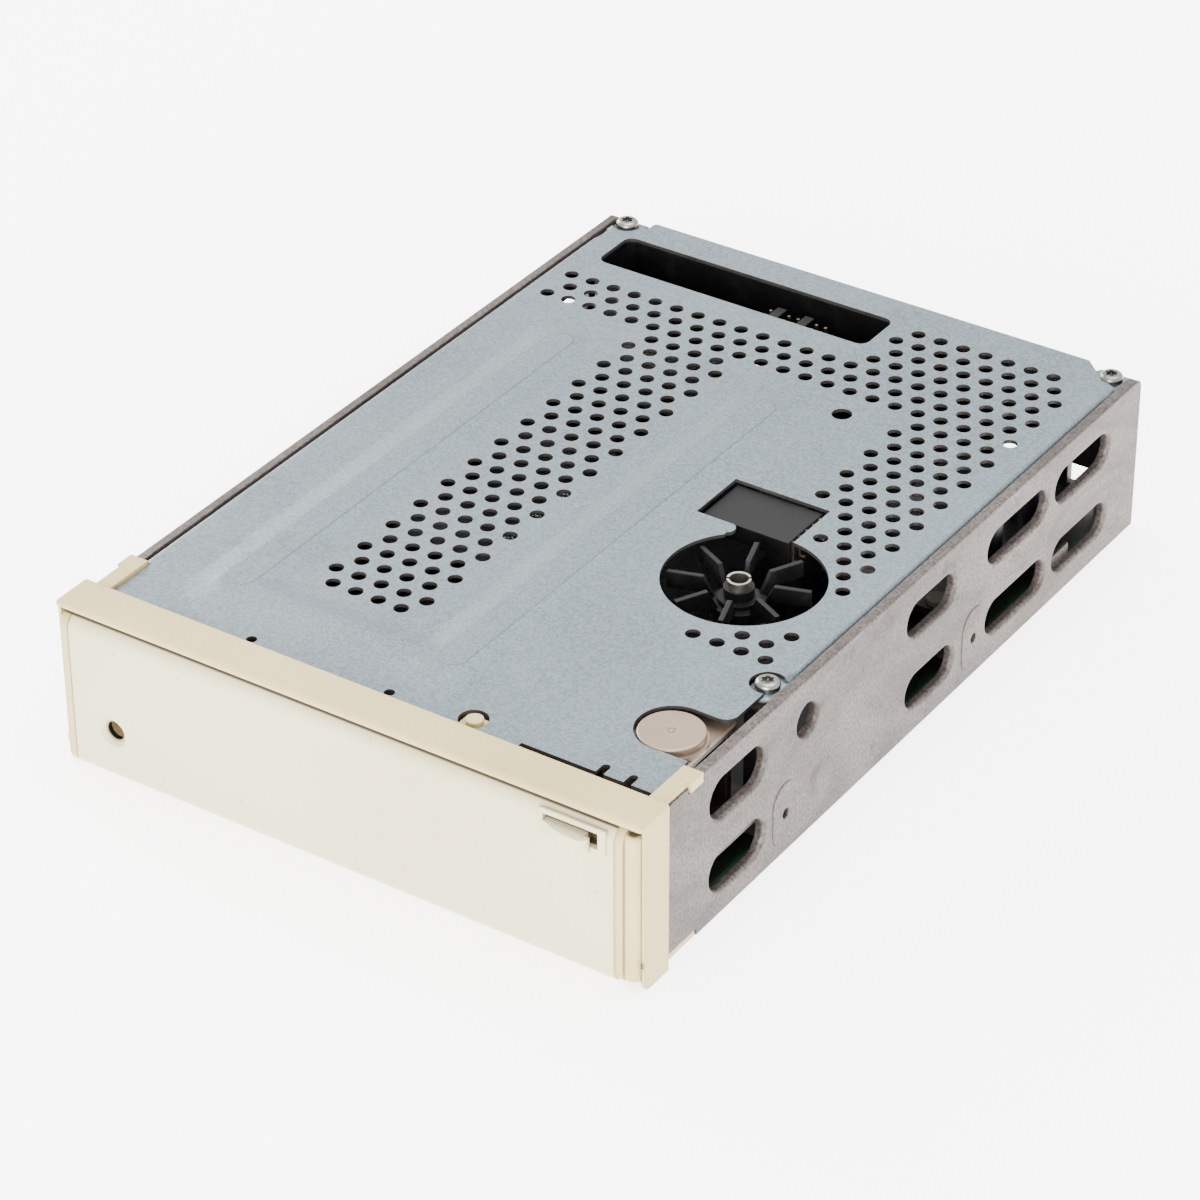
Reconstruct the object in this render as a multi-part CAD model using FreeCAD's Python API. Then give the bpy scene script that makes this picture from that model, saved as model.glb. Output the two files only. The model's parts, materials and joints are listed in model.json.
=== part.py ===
import FreeCAD, Part
import math
import os

# Half-height 5.25 inch cartridge tape drive. Millimetres, +Z up, the front faces -Y.
# Working frame while modelling: x = 0 on the drive's centre line, y = 0 on the rear face of
# the bezel, z = 0 on the underside. The finished pieces are moved so that the origin is at
# the middle of the bottom of the whole drive.

V = FreeCAD.Vector
UP = V(0, 0, 1)
ALONG_X = V(1, 0, 0)
ALONG_Y = V(0, 1, 0)

# ---- clearances shared by every fit
clear = 0.3            # between pieces that move past each other
slide_gap = 0.1        # sliding pieces on their guides
run_gap = 0.05         # radial, shaft in bearing or pin in hole

# ---- whole drive
half_width = 73.025    # side plates, 146.05 across
chassis_depth = 202.5
plate_t = 2.3
top_z = 39.65          # side plates' top edge and the cover's top face
bezel_over = 1.675     # how far the bezel stands out past each side plate
bezel_half = half_width + bezel_over
bezel_top = 41.7

# ---- mounting holes, 5.25 inch pattern
mount_y1 = 47.4
mount_pitch_y = 79.25
mount_z = 10.0
bottom_half = 69.85
tap_r = 1.25           # M3 tapping hole
tap_depth = 7.0
pad_r = 4.9
pad_low = 1.9
pad_high = 17.9
pad_rise = 0.15

# ---- deck and cartridge bay
deck_z0 = 12.0
deck_t = 2.0
deck_y0 = 8.0
deck_y1 = 160.0
bay_margin = 4.325     # from the left plate's outer face to the bay
right_room = 39.125    # width kept for the capstan and the head lift
bay_x0 = -(half_width - bay_margin)
bay_x1 = half_width - right_room
bay_mid = (bay_x0 + bay_x1) / 2
bay_floor = 16.5
bay_height = 17.6

# ---- cover
sheet_t = 0.9
cover_in_right = 3.025
cover_in_left = 2.625
cover_right = half_width - cover_in_right
cover_left = -(half_width - cover_in_left)
cover_y0 = 0.4
cover_y1 = chassis_depth + 0.5
skirt_h = 3.4
hole_r = 1.72
hole_pitch = 6.0
row_pitch = 5.196
grid_x = bay_x0 + 34.7
grid_y = 35.55

# ---- door and bezel
wall_front = -8.9
visor_front = -10.0
visor_t = 1.4
inner_t = 1.0
door_front = -10.5
door_t = 2.6
panel_t = 1.2
door_z0 = 0.3
door_z1 = 39.2
roll_top = 4.0
roll_bottom = 3.0
carrier_inset = 0.9     # running gap and bezel side wall beside the carrier
carrier_half = bezel_half - carrier_inset
left_end = 2.45         # plain end of the carrier beside the panel
right_end = 5.6         # groove and half-round pillar beside the panel
panel_x0 = -(carrier_half - left_end)
panel_x1 = carrier_half - right_end
pivot_y = -7.6
pivot_z = 6.6
pin_r = 1.4
led_x = panel_x0 + 10.6
led_z = 12.65
window_x1 = panel_x1 - 3.5
window_w = 13.2
window_x0 = window_x1 - window_w
window_z0 = 33.0
window_z1 = 36.9
latch_travel = 2.8
tab_reach = 2.6

# ---- capstan motor and its fan
roller_r = 6.1
roller_play = 0.4
axis_x = bay_x1 + roller_play + roller_r
axis_y = 80.3
shaft_r = 2.7
shaft_wall = 0.55
shaft_top = 39.3
fan_r = 16.0
fan_vanes = 8
fan_top = 38.6
fan_hole_x = axis_x + 1.3
fan_hole_y = 80.2
fan_hole_r = 18.2

# ---- head lift
lift_in = 13.725
lift_x = half_width - lift_in
lift_y = 24.5
can_r = 7.3
can_flange_r = 7.9
can_top = 39.4
shelf_z = 36.4
shelf_t = 1.8
head_travel = 2.6
rod_r = 1.25

# ---- main board
board_z = 4.0
board_t = 1.6
rear_wall_t = 2.2
rear_wall_z = 1.0
socket_h = 9.0
power_h = 11.0
board_half = half_width - plate_t - clear


def box(x0, x1, y0, y1, z0, z1):
    return Part.makeBox(x1 - x0, y1 - y0, z1 - z0, V(x0, y0, z0))


def rod(r, x, y, z0, z1):
    return Part.makeCylinder(r, z1 - z0, V(x, y, z0), UP)


def rod_x(r, x0, x1, y, z):
    return Part.makeCylinder(r, x1 - x0, V(x0, y, z), ALONG_X)


def rod_y(r, x, y0, y1, z):
    return Part.makeCylinder(r, y1 - y0, V(x, y0, z), ALONG_Y)


def tube(r_out, r_in, x, y, z0, z1):
    return rod(r_out, x, y, z0, z1).cut(rod(r_in, x, y, z0, z1))


def union(shapes):
    whole = shapes[0].multiFuse(shapes[1:])
    return whole.removeSplitter()


def circle_wire(r, x, y, z):
    return Part.Wire([Part.makeCircle(r, V(x, y, z), UP)])


def round_rect(x0, x1, y0, y1, r, z):
    """Rectangle with round corners, as a closed wire."""
    edges = []
    corners = [(x1 - r, y1 - r, 0), (x0 + r, y1 - r, 90), (x0 + r, y0 + r, 180), (x1 - r, y0 + r, 270)]
    ends = []
    for cx, cy, start in corners:
        a0 = math.radians(start)
        am = math.radians(start + 45)
        a1 = math.radians(start + 90)
        p0 = V(cx + r * math.cos(a0), cy + r * math.sin(a0), z)
        pm = V(cx + r * math.cos(am), cy + r * math.sin(am), z)
        p1 = V(cx + r * math.cos(a1), cy + r * math.sin(a1), z)
        ends.append((p0, p1))
        edges.append(Part.Arc(p0, pm, p1).toShape())
    joined = []
    for i, arc in enumerate(edges):
        joined.append(arc)
        start = ends[i][1]
        end = ends[(i + 1) % 4][0]
        if start.distanceToPoint(end) > 1e-6:
            joined.append(Part.LineSegment(start, end).toShape())
    return Part.Wire(joined)


def round_slab(x0, x1, y0, y1, r, z0, z1):
    return Part.Face(round_rect(x0, x1, y0, y1, r, z0)).extrude(V(0, 0, z1 - z0))


def polygon(points, z):
    return Part.makePolygon([V(x, y, z) for x, y in points + points[:1]])


def slab(points, z0, z1):
    return Part.Face(polygon(points, z0)).extrude(V(0, 0, z1 - z0))


def side_slot(x0, x1, y0, y1, z_mid, height):
    """Obround hole through a side plate, its long way along Y."""
    r = height / 2
    middle = box(x0, x1, y0 + r, y1 - r, z_mid - r, z_mid + r)
    return union([middle, rod_x(r, x0, x1, y0 + r, z_mid), rod_x(r, x0, x1, y1 - r, z_mid)])


def coil_spring(r, wire_r, length, pitch, at, direction):
    """Round wire coil, starting at the point `at` and running along `direction`."""
    helix = Part.makeHelix(pitch, length - 2 * wire_r, r)
    start = Part.makeCircle(wire_r, V(r, 0, 0), V(0, 1, pitch / (2 * math.pi * r)))
    coil = Part.Wire(helix).makePipeShell([Part.Wire(start)], True, True)
    coil.translate(V(0, 0, wire_r))
    turn = FreeCAD.Rotation(UP, direction)
    coil.Placement = FreeCAD.Placement(at, turn).multiply(coil.Placement)
    return coil


def pan_screw(x, y, z_seat, head_r=2.75, head_h=2.0, shank_r=1.2, length=6.0):
    """Dome-headed screw with a six-lobe recess, head seated on z_seat, shank downwards."""
    head = rod(head_r, x, y, z_seat, z_seat + head_h)
    rim = [e for e in head.Edges if abs(e.CenterOfMass.z - z_seat - head_h) < 1e-6]
    head = head.makeFillet(head_h * 0.55, rim)
    lobes = []
    for k in range(6):
        a = math.radians(60 * k)
        lobes.append(rod(0.42, x + 1.1 * math.cos(a), y + 1.1 * math.sin(a), z_seat + head_h * 0.45,
                         z_seat + head_h + 1))
    recess = union([rod(1.15, x, y, z_seat + head_h * 0.45, z_seat + head_h + 1)] + lobes)
    shank = rod(shank_r, x, y, z_seat - length, z_seat)
    return union([head.cut(recess), shank])


# ------------------------------------------------------------------ chassis

slot_rows = [  # y from, y to, z of the middle, height
    (18.2, 39.2, 28.9, 9.8),
    (18.2, 39.2, 10.5, 9.8),
    (97.2, 117.6, 29.0, 8.4),
    (97.4, 117.8, 10.2, 8.4),
    (132.3, 159.0, 29.0, 8.4),
    (132.6, 159.2, 10.2, 8.4),
    (163.0, 188.0, 29.0, 8.4),
    (163.2, 188.4, 10.2, 8.4),
]
left_slot = (163.0, 188.0, 23.0, 8.4)      # the left plate's upper rear slot lies lower
corner_x = half_width - 6.025
screw_spots = {"front_right": (corner_x, 49.2), "rear_right": (corner_x, cover_y1 - 4.0),
               "rear_left": (-corner_x, cover_y1 - 3.6)}
ledge_x = half_width - 7.025
board_screw_spots = [(-40.0, 30.0), (16.0, 30.0), (-40.0, 120.0), (10.0, 150.0), (-ledge_x, 170.0), (ledge_x, 170.0)]
slot_edge = 1.0        # rounding of the slots' outer edges
lug_drop = sheet_t     # the cover's screw lugs lie one sheet thickness lower
boss_top = top_z - sheet_t - lug_drop
tab_reach_y = 14.4     # how far the bezel's snap tabs reach along the side plates
tab_half_in = half_width - 4.225
tab_half_out = half_width - 0.425
tab_z0 = 39.1
tab_z1 = 40.4
barb_y0 = 9.8
barb_half = half_width + 0.475
barb_z0 = 38.0
low_tab_y = 12.6
low_tab_t = 1.5
block_half = half_width - 6.825    # inner faces of the blocks behind the mounting holes


def side_plate(side):
    """One die-cast side plate; side is +1 right, -1 left."""
    xs = sorted([side * (half_width - plate_t), side * half_width])
    plate = box(xs[0], xs[1], 0.1, chassis_depth, 0, top_z)
    cuts = []
    rows = slot_rows if side > 0 else slot_rows[:6] + [left_slot] + slot_rows[7:]
    for y0, y1, z_mid, height in rows:
        cuts.append(side_slot(xs[0] - 1, xs[1] + 1, y0, y1, z_mid, height))
    cuts.append(rod_x(3.9, xs[0] - 1, xs[1] + 1, 55.8, 28.9))
    plate = plate.cut(cuts)
    outer = side * half_width
    rims = []
    for edge in plate.Edges:
        bb = edge.BoundBox
        flat = abs(bb.XMin - outer) < 1e-6 and abs(bb.XMax - outer) < 1e-6
        inside = bb.YMin > 5 and bb.YMax < chassis_depth - 5 and bb.ZMin > 1 and bb.ZMax < top_z - 1
        if flat and inside:
            rims.append(edge)
    plate = plate.makeFillet(slot_edge, rims)
    top = [e for e in plate.Edges if abs(e.BoundBox.XMin - outer) < 1e-6 and
           abs(e.BoundBox.ZMin - top_z) < 1e-6 and abs(e.BoundBox.ZMax - top_z) < 1e-6]
    plate = plate.makeFillet(0.5, top)
    # room for the bezel's snap tabs, above and below
    step = box(xs[0] - 1, xs[1] + 1, -1, tab_reach_y + clear, tab_z0 - 0.05, top_z + 1)
    pocket_x = sorted([side * (tab_half_out - clear), side * (half_width + 1)])
    pocket = box(pocket_x[0], pocket_x[1], barb_y0 - clear, tab_reach_y + clear, barb_z0 - clear, top_z + 1)
    low = box(xs[0] - 1, xs[1] + 1, -1, low_tab_y + 0.4, -1, low_tab_t + 0.1)
    plate = plate.cut([step, pocket, low])
    rear = box(xs[0] - 1, xs[1] + 1, chassis_depth - 2.2, chassis_depth + 2, top_z - 2.2, top_z + 2)
    corner = rod_x(2.2, xs[0] - 1, xs[1] + 1, chassis_depth - 2.2, top_z - 2.2)
    return plate.cut(rear.cut(corner))


def mount_pad(side, y):
    """Flush obround pad cast on the side plate round a mounting hole."""
    x0 = side * half_width
    x1 = side * (half_width + pad_rise)
    xs = sorted([x0, x1])
    r = pad_r
    middle = box(xs[0], xs[1], y - r, y + r, pad_low + r, pad_high - r)
    return union([middle, rod_x(r, xs[0], xs[1], y, pad_low + r), rod_x(r, xs[0], xs[1], y, pad_high - r)])


def mount_block(side, y):
    xs = sorted([side * block_half, side * (half_width - plate_t)])
    return box(xs[0], xs[1], y - 4.8, y + 4.8, 0, deck_z0)


def chassis_frame():
    parts = []
    bores = []
    for side in (-1, 1):
        parts.append(side_plate(side))
        for y in (mount_y1, mount_y1 + mount_pitch_y):
            parts.append(mount_block(side, y))
            xs = sorted([side * (half_width - tap_depth), side * (half_width + 1)])
            bores.append(rod_x(tap_r, xs[0], xs[1], y, mount_z))
            bores.append(rod(tap_r, side * bottom_half, y, -1, tap_depth))
    inner = half_width - plate_t
    deck = box(-inner, inner, deck_y0, deck_y1, deck_z0, deck_z0 + deck_t)
    deck = deck.cut([
        round_slab(bay_x0 + 16.7, bay_x1 - 21.9, 34, 84, 4, deck_z0 - 1, deck_z0 + deck_t + 1),
        rod(4.8, axis_x, axis_y, deck_z0 - 1, deck_z0 + deck_t + 1),
        round_slab(axis_x + 3.6, ledge_x, 132, 154, 3, deck_z0 - 1, deck_z0 + deck_t + 1),
    ])
    parts.append(deck)
    # ledges that the main board hangs from, and the rear rail under the cover
    for side in (-1, 1):
        xs = sorted([side * (ledge_x - 4.0), side * inner])
        parts.append(box(xs[0], xs[1], 165, 175, board_z + board_t, board_z + board_t + 3))
    rail_z = 33.5
    parts.append(box(-inner, inner, chassis_depth - 6.3, chassis_depth, rail_z, boss_top))
    # rear wall, open along its lower edge and round the two sockets
    wall = box(-inner, inner, chassis_depth - rear_wall_t, chassis_depth, rear_wall_z, rail_z)
    socket_top = board_z + board_t + socket_h
    wall_y0 = chassis_depth - rear_wall_t - 1
    wall_y1 = chassis_depth + 1
    wall = wall.cut([
        box(scsi_x0 + 3 - clear, scsi_x1 - 3 + clear, wall_y0, wall_y1, 0, socket_top - 1.2 + clear),
        box(power_x0 - clear, power_x1 + clear, wall_y0, wall_y1, 0, board_z + board_t + power_h + clear),
    ])
    # three small windows beside the sockets
    for x0, x1, z0, z1 in rear_windows:
        wall = wall.cut(box(x0, x1, wall_y0, wall_y1, z0, z1))
    parts.append(wall)
    right = screw_spots["front_right"]
    parts.append(box(right[0] - 3.0, inner, right[1] - 4.2, right[1] + 4.2, deck_z0 + deck_t, boss_top))
    for x, y in board_screw_spots[:4]:
        parts.append(rod(3.0, x, y, board_z + board_t, deck_z0))
    # ribs that guide the eject slider
    for x in (slider_x0 - slide_gap - 1.2, slider_x1 + slide_gap):
        parts.append(box(x, x + 1.2, slider_y0 - 4, deck_y1, deck_z0 + deck_t, deck_z0 + deck_t + 1.2))
    for x in (slider_x0 + 4, slider_x1 - 4):
        parts.append(rod(1.0, x, hook_y, deck_z0 + deck_t, deck_z0 + deck_t + 2.2))
    body = union(parts)
    # room for the lock lever to swing back into the left plate
    bores.append(box(-inner - 1.6, -inner + 1, lever_y - 12.0, lever_y + 11.0, 21.6, 28.4))
    for x, y in screw_spots.values():
        bores.append(rod(1.2, x, y, boss_top - 6.2, boss_top + 1))
    for x, y in board_screw_spots:
        bores.append(rod(1.2, x, y, board_z, deck_z0 + deck_t - 0.6 if y < 160 else board_z + 6))
    for x, y in slider_screw_spots:
        bores.append(rod(1.5, x, y, deck_z0 - 1, deck_z0 + deck_t + 1))
    for x, y in lift_screw_spots + motor_screw_spots:
        bores.append(rod(1.2, x, y, deck_z0 - 1, deck_z0 + deck_t + 1))
    body = body.cut(bores)
    pads = []
    for side in (-1, 1):
        for y in (mount_y1, mount_y1 + mount_pitch_y):
            xs = sorted([side * (half_width - 0.5), side * (half_width + 1)])
            pads.append(mount_pad(side, y).cut(rod_x(tap_r, xs[0], xs[1], y, mount_z)))
    return union([body] + pads)


# ------------------------------------------------------------------ cover

def vent_centres():
    """Hole centres on a hexagonal grid: the rows are 5.2 mm apart, each row shifted by half."""
    rows = {}
    for v in range(-1, 24):
        rows[v] = list(range(1, 8, 2)) if v % 2 else list(range(0, 9, 2))
    for v in (24, 26):
        rows[v] = list(range(-10, 33, 2))
    rows[25] = list(range(-9, 32, 2))
    for v in (27, 29):
        rows[v] = list(range(17, 32, 2))
    rows[28] = list(range(18, 33, 2))
    rows[30] = list(range(18, 31, 2))
    front = {4: [26, 28, 30, 32], 5: [29, 31], 6: [32]}
    beside = {10: [32], 11: [31], 12: [30, 32], 13: [27, 29, 31], 14: [28, 30, 32], 15: [27, 29, 31]}
    for extra in (front, beside):
        for v, us in extra.items():
            rows[v] = rows[v] + us
    for v in range(16, 24):
        rows[v] = rows[v] + (list(range(25, 32, 2)) if v % 2 else list(range(24, 33, 2)))
    return [(grid_x + hole_pitch / 2 * u, grid_y + row_pitch * v) for v in rows for u in rows[v]]


def bead(outline, top_outline):
    """Raised rib with sloping shoulders between two closed wires, one above the other."""
    return Part.makeLoft([outline, top_outline], True, True)


bead_rise = 0.55
arm_mid = (bay_x0 + 20.5, bay_x1 - 26.4)     # middles of the two long ribs pressed in the cover
arm_half = 3.4
arm_y0 = 9.4
arm_y1 = 145.2
shoulder = 2.4
ramp_y1 = 18.4
neck_r = 3.0           # round corner where the motor's opening meets the right edge


def cover_cuts(z0, z1):
    cuts = [rod(hole_r, x, y, z0, z1) for x, y in vent_centres()]
    cuts.append(rod(fan_hole_r, fan_hole_x, fan_hole_y, z0, z1))
    cuts.append(box(sensor_x0 - 0.9, axis_x + 2.6, 97.5, 113.7, z0, z1))
    corner_hole_x = axis_x - 12.8
    cuts.append(box(corner_hole_x + 1.0, axis_x + 2.6, 92.0, 97.6, z0, z1).cut(rod(2.0, corner_hole_x, 95.6, z0, z1)))
    cuts.append(round_slab(well_x0, well_x1, well_y0, well_y1, 2.5, z0, z1))
    cuts.append(rod(2.4, bay_x1 - 10.2, 150.6, z0, z1))
    for x in (bay_x0 + 36.4, bay_x1 - 30.4):
        cuts.append(rod(1.2, x, 3.4, z0, z1))
    cuts.append(rod(3.3, post_x - 0.5, 5.2, z0, z1))
    # round opening over the head's step motor, its neck, and the narrow cut along the edge
    cuts.append(rod(can_flange_r + 0.4, lift_x + 0.3, lift_y + 0.3, z0, z1))
    cuts.append(box(lift_x, cover_right + 1, lift_y - 8.0, lift_y + 8.5, z0, z1))
    edge_x = cover_right - 1.8
    neck_y = lift_y + 8.5
    cuts.append(box(edge_x, cover_right + 1, -1, 45.5, z0, z1))
    corner = box(edge_x - neck_r, edge_x + 0.1, neck_y - 0.1, neck_y + neck_r, z0, z1)
    cuts.append(corner.cut(rod(neck_r, edge_x - neck_r, neck_y + neck_r, z0, z1)))
    right = screw_spots["front_right"]
    cuts.append(rod(4.1, right[0], right[1] + 0.3, z0, z1))
    cuts.append(box(right[0], cover_right + 1, right[1] - 0.5, right[1] + 4.2, z0, z1))
    # front edge: cut back on the right, with two hooked notches
    cuts.append(box(bay_x1 + 2.6, cover_right + 1, -1, 3.6, z0, z1))
    for x in (lift_x - 4.7, lift_x + 2.0):
        cuts.append(box(x, x + 1.9, 3.0, 7.0, z0, z1))
        cuts.append(rod(1.1, x + 0.9, 4.4, z0, z1))
    # snap tabs at the two front corners
    cuts.append(box(cover_left - 1, cover_left + 2.0, -1, tab_reach_y + 0.8, z0, z1))
    # rear corners, cut round the screws
    left = cover_left
    right_x = cover_right
    end = cover_y1
    cuts.append(slab([(left - 1.2, end - 3.6), (left + 9.2, end - 3.6), (left + 9.2, end - 0.4),
                      (left + 11.9, end + 1), (left - 1.2, end + 1)], z0, z1))
    cuts.append(slab([(right_x - 11.5, end + 1), (right_x - 10.5, end - 0.4), (right_x - 5.0, end - 5.6),
                      (right_x + 1, end - 8.0), (right_x + 1, end + 1)], z0, z1))
    cuts.append(rod(3.9, screw_spots["rear_left"][0], screw_spots["rear_left"][1], z0, z1))
    cuts.append(rod(3.9, screw_spots["rear_right"][0], screw_spots["rear_right"][1], z0, z1))
    return cuts


def top_cover():
    z0 = top_z - sheet_t
    sheet = box(cover_left, cover_right, cover_y0, cover_y1, z0, top_z)
    for x, y0, y1, grow in ((cover_left, tab_reach_y + 3, cover_y1 - 9.0, 1), (cover_right, 56.0, cover_y1 - 10.0, -1)):
        xs = sorted([x, x + grow * sheet_t])
        sheet = sheet.fuse(box(xs[0], xs[1], y0, y1, top_z - skirt_h, top_z))
    sheet = sheet.removeSplitter()
    edges = []
    for e in sheet.Edges:
        bb = e.BoundBox
        at_side = abs(bb.XMin - cover_left) < 1e-6 or abs(bb.XMin - cover_right) < 1e-6
        if at_side and bb.XLength < 1e-6 and abs(bb.ZMin - top_z) < 1e-6 and bb.YLength > 100:
            edges.append(e)
    sheet = sheet.makeFillet(sheet_t * 0.8, edges)
    ribs = []
    for mid in arm_mid:
        low = round_rect(mid - arm_half - shoulder, mid + arm_half + shoulder, arm_y0 - 2.2, arm_y1 + shoulder,
                         arm_half + shoulder - 0.01, top_z)
        high = round_rect(mid - arm_half, mid + arm_half, arm_y0, arm_y1, arm_half - 0.01, top_z + bead_rise)
        ribs.append(bead(low, high))
    cross_low = round_rect(arm_mid[0], arm_mid[1], arm_y0 - 2.2, ramp_y1 + shoulder, 1.0, top_z)
    cross_high = round_rect(arm_mid[0], arm_mid[1], arm_y0, ramp_y1, 1.0, top_z + bead_rise)
    ribs.append(bead(cross_low, cross_high))
    sheet = union([sheet] + ribs)
    sheet = sheet.cut(cover_cuts(top_z - skirt_h - 1, top_z + 2))
    lugs = []
    for name, (x, y) in screw_spots.items():
        lug = rod(5.4, x, y, boss_top, boss_top + lug_drop)
        side = 1 if x > 0 else -1
        xs = sorted([side * (half_width - plate_t - 0.5), side * 90])
        lug = lug.cut([box(xs[0], xs[1], y - 9, y + 9, 0, 50), box(-90, 90, chassis_depth - 0.3, cover_y1 + 20, 0, 50)])
        if name == "front_right":
            # the lug stops short of the cut-out's inner side
            gap = tube(4.6, 3.2, x, y, 0, 50)
            lug = lug.cut(gap.common(box(x - 9, x - 1.8, y - 9, y + 9, 0, 50)))
            lug = lug.common(box(x - 3.3, x + 9, y - 9, y + 9, 0, 50))
        lugs.append(lug.cut(rod(1.6, x, y, 0, 50)))
    return union([sheet] + lugs)


def cover_screws():
    return Part.makeCompound([pan_screw(x, y, boss_top + lug_drop) for x, y in screw_spots.values()])


# ------------------------------------------------------------------ rear well

well_x0 = cover_left + 7.4
well_x1 = 12.0
well_y0 = cover_y1 - 23.0
well_y1 = cover_y1 - 9.0
well_wall = 1.3
well_floor = 27.2


def rear_well():
    under = top_z - sheet_t
    outer = round_slab(well_x0 - well_wall, well_x1 + well_wall, well_y0 - well_wall, well_y1 + well_wall, 3.5,
                       well_floor - well_wall, under)
    inner = round_slab(well_x0, well_x1, well_y0, well_y1, 2.5, well_floor, under + 1)
    return outer.cut(inner)


def option_header():
    """Two rows of pins standing in the well, in one moulded strip."""
    base = box(-20, -2, well_y0 + 4.5, well_y0 + 9.5, well_floor, well_floor + 2.5)
    pins = []
    for i in range(7):
        for j in range(2):
            x = -18.6 + 2.54 * i
            y = well_y0 + 5.8 + 2.4 * j
            pins.append(box(x - 0.32, x + 0.32, y - 0.32, y + 0.32, well_floor + 2.5, well_floor + 8.5))
    return union([base] + pins)


def option_jumpers():
    """Shunts pushed on two pin pairs of the header."""
    shunts = []
    for i in (1, 4):
        x = -18.6 + 2.54 * i
        body = box(x - 1.2, x + 1.2, well_y0 + 4.6, well_y0 + 9.4, well_floor + 2.6, well_floor + 9.2)
        for j in range(2):
            y = well_y0 + 5.8 + 2.4 * j
            body = body.cut(box(x - 0.34, x + 0.34, y - 0.34, y + 0.34, well_floor + 2.5, well_floor + 8.6))
        shunts.append(body)
    return Part.makeCompound(shunts)


# ------------------------------------------------------------------ bezel

def front_bezel():
    visor = box(-bezel_half, bezel_half, visor_front, 0, bezel_top - visor_t, bezel_top)
    nose = [e for e in visor.Edges if abs(e.BoundBox.YMin - visor_front) < 1e-6 and
            abs(e.BoundBox.YMax - visor_front) < 1e-6 and e.BoundBox.XLength > 10 and
            abs(e.BoundBox.ZMin - bezel_top) < 1e-6]
    visor = visor.makeFillet(1.0, nose)
    parts = [visor]
    skin = 0.75
    for side in (-1, 1):
        xs = sorted([side * (bezel_half - skin), side * bezel_half])
        wall = box(xs[0], xs[1], wall_front, 0, 0, bezel_top - visor_t)
        foot = box(xs[0] - 1, xs[1] + 1, wall_front - 1, wall_front + 2.0, -1, 2.0)
        wall = wall.cut(foot.cut(rod_x(2.0, xs[0] - 1, xs[1] + 1, wall_front + 2.0, 2.0)))
        parts.append(wall)
        xs = sorted([side * (bezel_half - 2.3), side * (bezel_half - skin)])
        parts.append(box(xs[0], xs[1], -6.1, 0, 14.5, bezel_top - visor_t))
    parts.append(box(-bezel_half, bezel_half, -inner_t, 0, 1.0, bezel_top - visor_t))
    parts.append(box(-bezel_half, bezel_half, -3.2, 0, 0, 1.5))
    # throat that leads a cartridge in
    parts.append(box(bay_x0 - 1.3, bay_x1 + 1.3, -inner_t, 6.0, bay_floor - 1.6, bay_floor - 0.3))
    parts.append(box(bay_x0 - 1.3, bay_x0, 0, 6.0, bay_floor - 1.6, bay_floor + bay_height + 1.3))
    parts.append(box(bay_x1, bay_x1 + 1.3, 0, 6.0, bay_floor - 1.6, bay_floor + bay_height + 1.3))
    parts.append(box(bay_x0 - 1.3, bay_x1 + 1.3, 0, 6.0, bay_floor + bay_height, bay_floor + bay_height + 1.3))
    # snap tabs over and under the side plates
    for side in (-1, 1):
        xs = sorted([side * tab_half_in, side * tab_half_out])
        parts.append(box(xs[0], xs[1], 0, tab_reach_y, tab_z0, tab_z1))
        xs = sorted([side * (tab_half_out - 0.2), side * barb_half])
        barb = box(xs[0], xs[1], barb_y0, tab_reach_y, barb_z0, tab_z1)
        parts.append(barb)
        xs = sorted([side * (half_width - 4.425), side * (half_width - 0.2)])
        parts.append(box(xs[0], xs[1], 0, low_tab_y, 0, low_tab_t))
    # post that locates the cover's front edge
    parts.append(box(post_x - 3.2, post_x + 2.8, 0, 7.4, 36.6, top_z - sheet_t - 0.1))
    parts.append(rod(1.9, post_x, 4.9, 38.0, 40.1))
    # keeper that the door latch hooks behind, and bosses for the lamp board
    parts.append(box(keeper_x0, keeper_x0 + 1.5, keeper_y, -inner_t, 31.4, 34.6))
    parts.append(box(keeper_x0, keeper_x1, keeper_y, keeper_y + 1.5, 31.4, 34.6))
    for x, z in lamp_boss_spots:
        parts.append(rod_y(1.8, x, -inner_t, lamp_board_y, z))
    body = union(parts)
    cuts = [
        box(bay_x0, bay_x1, -inner_t - 1, 0.5, bay_floor - 0.3, bay_floor + bay_height),
        rod_y(guide_r + run_gap, led_x, -3, 3, led_z),
    ]
    for side in (-1, 1):
        # blind pockets for the hinge pins' ends
        xs = sorted([side * (bezel_half - skin - 0.5), side * (bezel_half - pocket_skin)])
        cuts.append(rod_x(pin_r + run_gap, xs[0], xs[1], pivot_y, pivot_z))
    for x, z in lamp_boss_spots:
        cuts.append(rod_y(0.8, x, 1.5, lamp_board_y + 1, z))
    body = body.cut(cuts)
    ends = [e for e in body.Edges if abs(e.BoundBox.ZMin - bezel_top) < 1e-6 and
            abs(e.BoundBox.ZMax - bezel_top) < 1e-6 and e.BoundBox.XLength < 1e-6 and e.BoundBox.YLength > 5]
    return body.makeFillet(0.9, ends)


post_x = bay_x1 - 9.9
pocket_skin = 0.25
keeper_x0 = window_x1 - 3.3
keeper_x1 = window_x1 + 0.2
keeper_y = -5.3
lamp_boss_spots = [(led_x - 5.45, 5.6), (led_x + 5.95, 9.2)]
lamp_board_y = 5.4
guide_r = 1.9


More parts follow.
